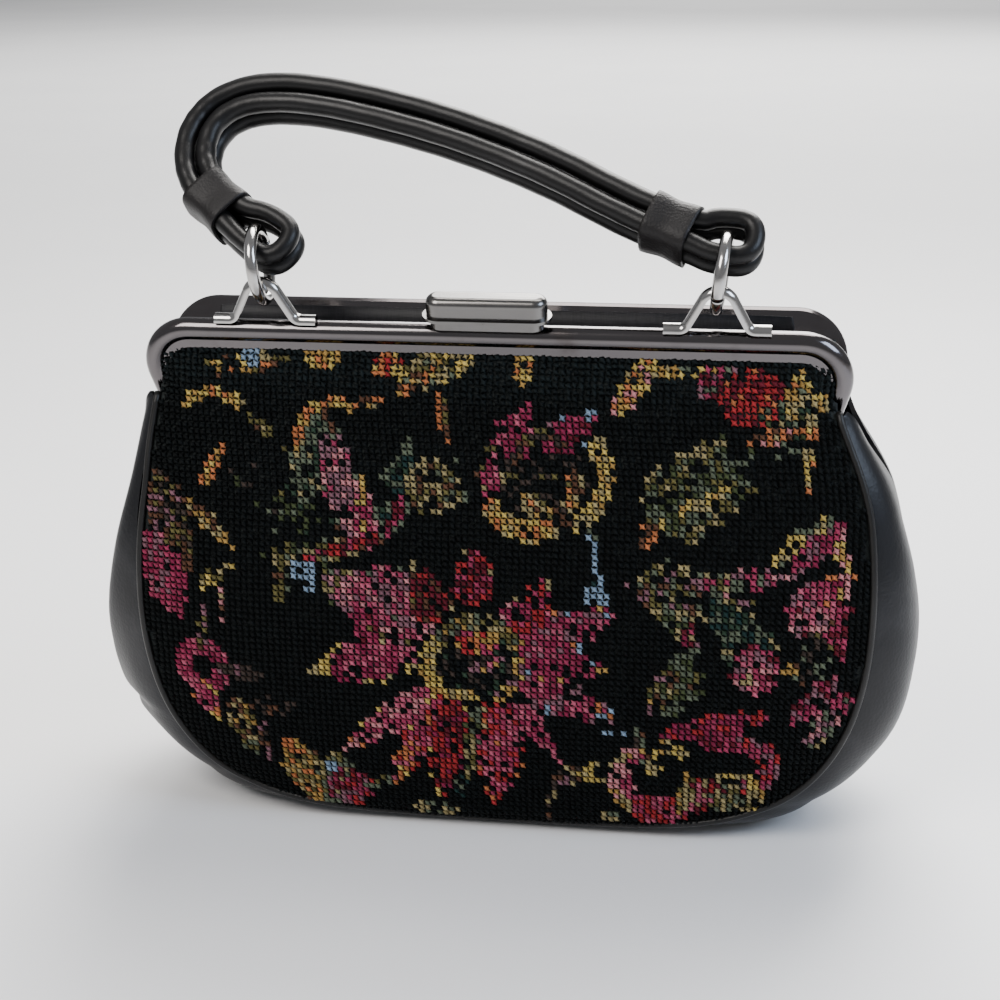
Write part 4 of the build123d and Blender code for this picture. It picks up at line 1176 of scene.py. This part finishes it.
# %% Handle tubes
RING_CENTRE = Vector((0.0, -18.568, 193.739))
HANDLE_BACK = math.radians(40.0)
HANDLE_UP = Vector((0.0, math.sin(HANDLE_BACK), math.cos(HANDLE_BACK)))
HANDLE_NORMAL = Vector((0.0, -math.cos(HANDLE_BACK), math.sin(HANDLE_BACK)))
TUBE_RADIUS, TUBE_HALF_PITCH, STRAND_HALF_PITCH = 3.45, 3.7, 3.8
EYE_RADIUS, EYE_NECK = 6.6, 6.2
EYES = {"right": ((77.5, 10.8), 6.0), "left": ((-71.4, 8.5), 35.0)}
HANDLE_LINE = np.array([(-84.0, 15.8), (-98.0, 28.0), (-102.0, 43.0), (-97.0, 56.5), (-83.0, 63.5),
                        (-58.0, 62.0), (-22.0, 52.5), (14.0, 38.5), (44.0, 21.5), (66.0, 12.0)])


def side_step(line, shift):
    """The same line moved sideways by shift."""
    padded = np.concatenate([line[:1], line, line[-1:]])
    run = padded[2:] - padded[:-2]
    run /= np.linalg.norm(run, axis=1, keepdims=True)
    return line + np.stack([-run[:, 1], run[:, 0]], axis=1) * shift


def eye_corners(centre, drop):
    """Four corners that the strand rounds to make an eye."""
    turn = math.radians(drop)
    along, across = np.array([math.cos(turn), -math.sin(turn)]), np.array([math.sin(turn), math.cos(turn)])
    steps = ((-EYE_NECK, 1), (EYE_RADIUS, 1), (EYE_RADIUS, -1), (-EYE_NECK, -1))
    return np.array([centre + along * ahead + across * up * EYE_RADIUS for ahead, up in steps])


def handle_place(flat, lift):
    """Places in the handle's plane, lifted off it, in the frame of the bag."""
    up, normal = np.array(HANDLE_UP), np.array(HANDLE_NORMAL)
    across = np.outer(flat[:, 0], (1, 0, 0))
    return (np.array(RING_CENTRE) + across + np.outer(flat[:, 1], up) + lift * normal) * MM


loop = np.concatenate([side_step(HANDLE_LINE, STRAND_HALF_PITCH), eye_corners(*EYES["right"]),
                       side_step(HANDLE_LINE, -STRAND_HALF_PITCH)[::-1], eye_corners(*EYES["left"])])
smooth_loop = evenly(eased(loop, closed=True, steps=14), 620, closed=True)
in_eye = np.min([np.hypot(*(smooth_loop - centre).T) for centre, drop in EYES.values()], axis=0)
thin = 1 - 0.10 * (1 - soft_step(9.0, 17.0, in_eye))
wrinkled = np.exp(-(np.hypot(*(smooth_loop - (-98.0, 42.0)).T) / 20.0) ** 2)


def wrinkle(index, angles, lift):
    """Small folds in the bend, and a slightly uneven filling all along, as factors on the radius."""
    phase = index * 0.83 + 1.3 * math.sin(index * 0.21) + lift
    folds = -0.045 * wrinkled[index] * (0.5 + 0.5 * np.sin(phase + 0.8 * np.sin(angles * 2)))
    lumps = 0.012 * np.sin(index * 0.11 + angles) + 0.008 * np.sin(index * 0.37 + 2 * angles + lift)
    return 1 + folds + lumps


for name, lift in (("front", 1), ("rear", -1)):
    path, radius = handle_place(smooth_loop, lift * TUBE_HALF_PITCH), TUBE_RADIUS * thin * MM
    roll = tube(f"handle_{name}_roll", path, radius, 28, handle_leather, closed=True,
                squash=lambda index, angles: wrinkle(index, angles, lift))
    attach(roll, "handle")
    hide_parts(f"handle_{name}_tube")
print("handle tubes: loop in mm", round(float(np.linalg.norm(np.diff(smooth_loop, axis=0), axis=1).sum())))

# %% [markdown]
# ## The collars
# Each collar is a strip of grained leather wrapped once round the four strands and glued shut
# underneath. Its section is a rounded oblong. The strip is a little longer than one turn, so its
# end lies over its start, one thickness further out, and its cut end shows as a small step.

# %% Collars
COLLAR_WALL, COLLAR_PLAY, COLLAR_LENGTH, COLLAR_START = 0.9, 0.5, 15.0, 1.5
COLLAR_SQUARENESS = 3.6
LAP_START, LAP_TURNS, LAP_GAP = 150.0, 398.0, 0.06    # degrees, degrees and millimetres


def collar_grid(end, inward, wide, tall):
    """Points of the wrapped strip: rows along the handle's line, columns once round and over."""
    run = (inward - end) / np.linalg.norm(inward - end)
    across = np.array([-run[1], run[0]])
    turned = np.linspace(0, LAP_TURNS, 84)
    lap = (COLLAR_WALL + LAP_GAP) * soft_step(322.0, 360.0, turned)
    c, s = np.cos(np.radians(turned + LAP_START)), np.sin(np.radians(turned + LAP_START))
    power = 2 / COLLAR_SQUARENESS
    off_plane = np.sign(c) * np.abs(c) ** power * (wide + lap)
    in_plane = np.sign(s) * np.abs(s) ** power * (tall + lap)
    rows = []
    for share in np.linspace(0, 1, 15):
        pinch = 1 - 0.05 * math.sin(math.pi * share) + 0.015 * math.sin(9 * share)
        flat = end + run * (COLLAR_START + share * COLLAR_LENGTH) + np.outer(in_plane * pinch, across)
        rows.append(handle_place(flat, 0.0) + np.outer(off_plane * pinch * MM, HANDLE_NORMAL))
    return np.array(rows)


tall = STRAND_HALF_PITCH + TUBE_RADIUS + COLLAR_PLAY + COLLAR_WALL
wide = TUBE_HALF_PITCH + TUBE_RADIUS + COLLAR_PLAY + COLLAR_WALL
for label, line in (("left", HANDLE_LINE), ("right", HANDLE_LINE[::-1])):
    grid = collar_grid(line[0], line[1], wide, tall)
    middle = grid.mean(axis=(0, 1))
    wrap = sheet_from_grid(f"{label}_collar_wrap", grid, COLLAR_WALL * MM, collar_leather, middle)
    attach(wrap, "handle")
    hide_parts(f"{label}_collar")
print("collars in mm:", round(2 * wide, 1), "by", round(2 * tall, 1))

# %% [markdown]
# ## Rings
# A ring is bent from wire, and the two ends of the wire meet at a hairline gap. The model's ring
# has no gap, so the ring is swept again along the same circle, stopping short at both ends.

# %% Rings with a gap
RING_RADIUS, RING_WIRE = 11.4, 2.0
RING_GAP, GAP_PLACE = 2.2, {"left": -28.0, "right": 150.0}    # degrees
RING_BACK, RING_SPLAY = math.radians(30.0), math.radians(7.0)
for label, sign in (("left", -1), ("right", 1)):
    low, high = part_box(f"{label}_ring")
    centre = (low + high) / 2
    upward = Vector((0, math.sin(RING_BACK), math.cos(RING_BACK)))
    spoke = upward * math.cos(RING_SPLAY) + Vector((math.sin(RING_SPLAY) * sign, 0, 0))
    normal = Vector((1, 0, 0)) * math.cos(RING_SPLAY) - upward * math.sin(RING_SPLAY) * sign
    other = normal.cross(spoke)
    start, end = GAP_PLACE[label] + RING_GAP / 2, GAP_PLACE[label] + 360 - RING_GAP / 2
    angles = np.radians(np.linspace(start, end, 97))
    path = [centre + (spoke * math.cos(a) + other * math.sin(a)) * RING_RADIUS * MM for a in angles]
    hoop = tube(f"{label}_wire_ring", path, RING_WIRE * MM, 20, fitting_plate)
    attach(hoop, f"{label}_link")
    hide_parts(f"{label}_ring")
print("ring gap in degrees:", RING_GAP)

# %% [markdown]
# ## Finishes for the model's own pieces
# The pressed frame, the lugs, the clasp, the rivets, the small catch and the board inside already
# have their real shape in the model, so they keep it and only take a finish.

# %% Assign the finishes
KEPT_PIECES = {
    frame_plate: ("front_frame", "rear_frame"),
    fitting_plate: ("left_lug", "right_lug", "left_hinge_rivet", "right_hinge_rivet", "catch_stud"),
    clasp_plate: ("clasp_bar", "clasp_base", "clasp_pin"),
    spring_steel: ("clasp_spring",),
    grey_board: ("base_board",),
}
for material, nodes in KEPT_PIECES.items():
    for node in nodes:
        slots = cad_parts[node].data.materials
        slots.clear()
        slots.append(material)
print("finished nodes:", sum(len(nodes) for nodes in KEPT_PIECES.values()))

# %% [markdown]
# ## Sizes and the end
# The finished bag's box is printed, in millimetres.

# %% Write the sizes and finish
low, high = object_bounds()
print("bag size in mm:", [round(side / MM, 1) for side in high - low])
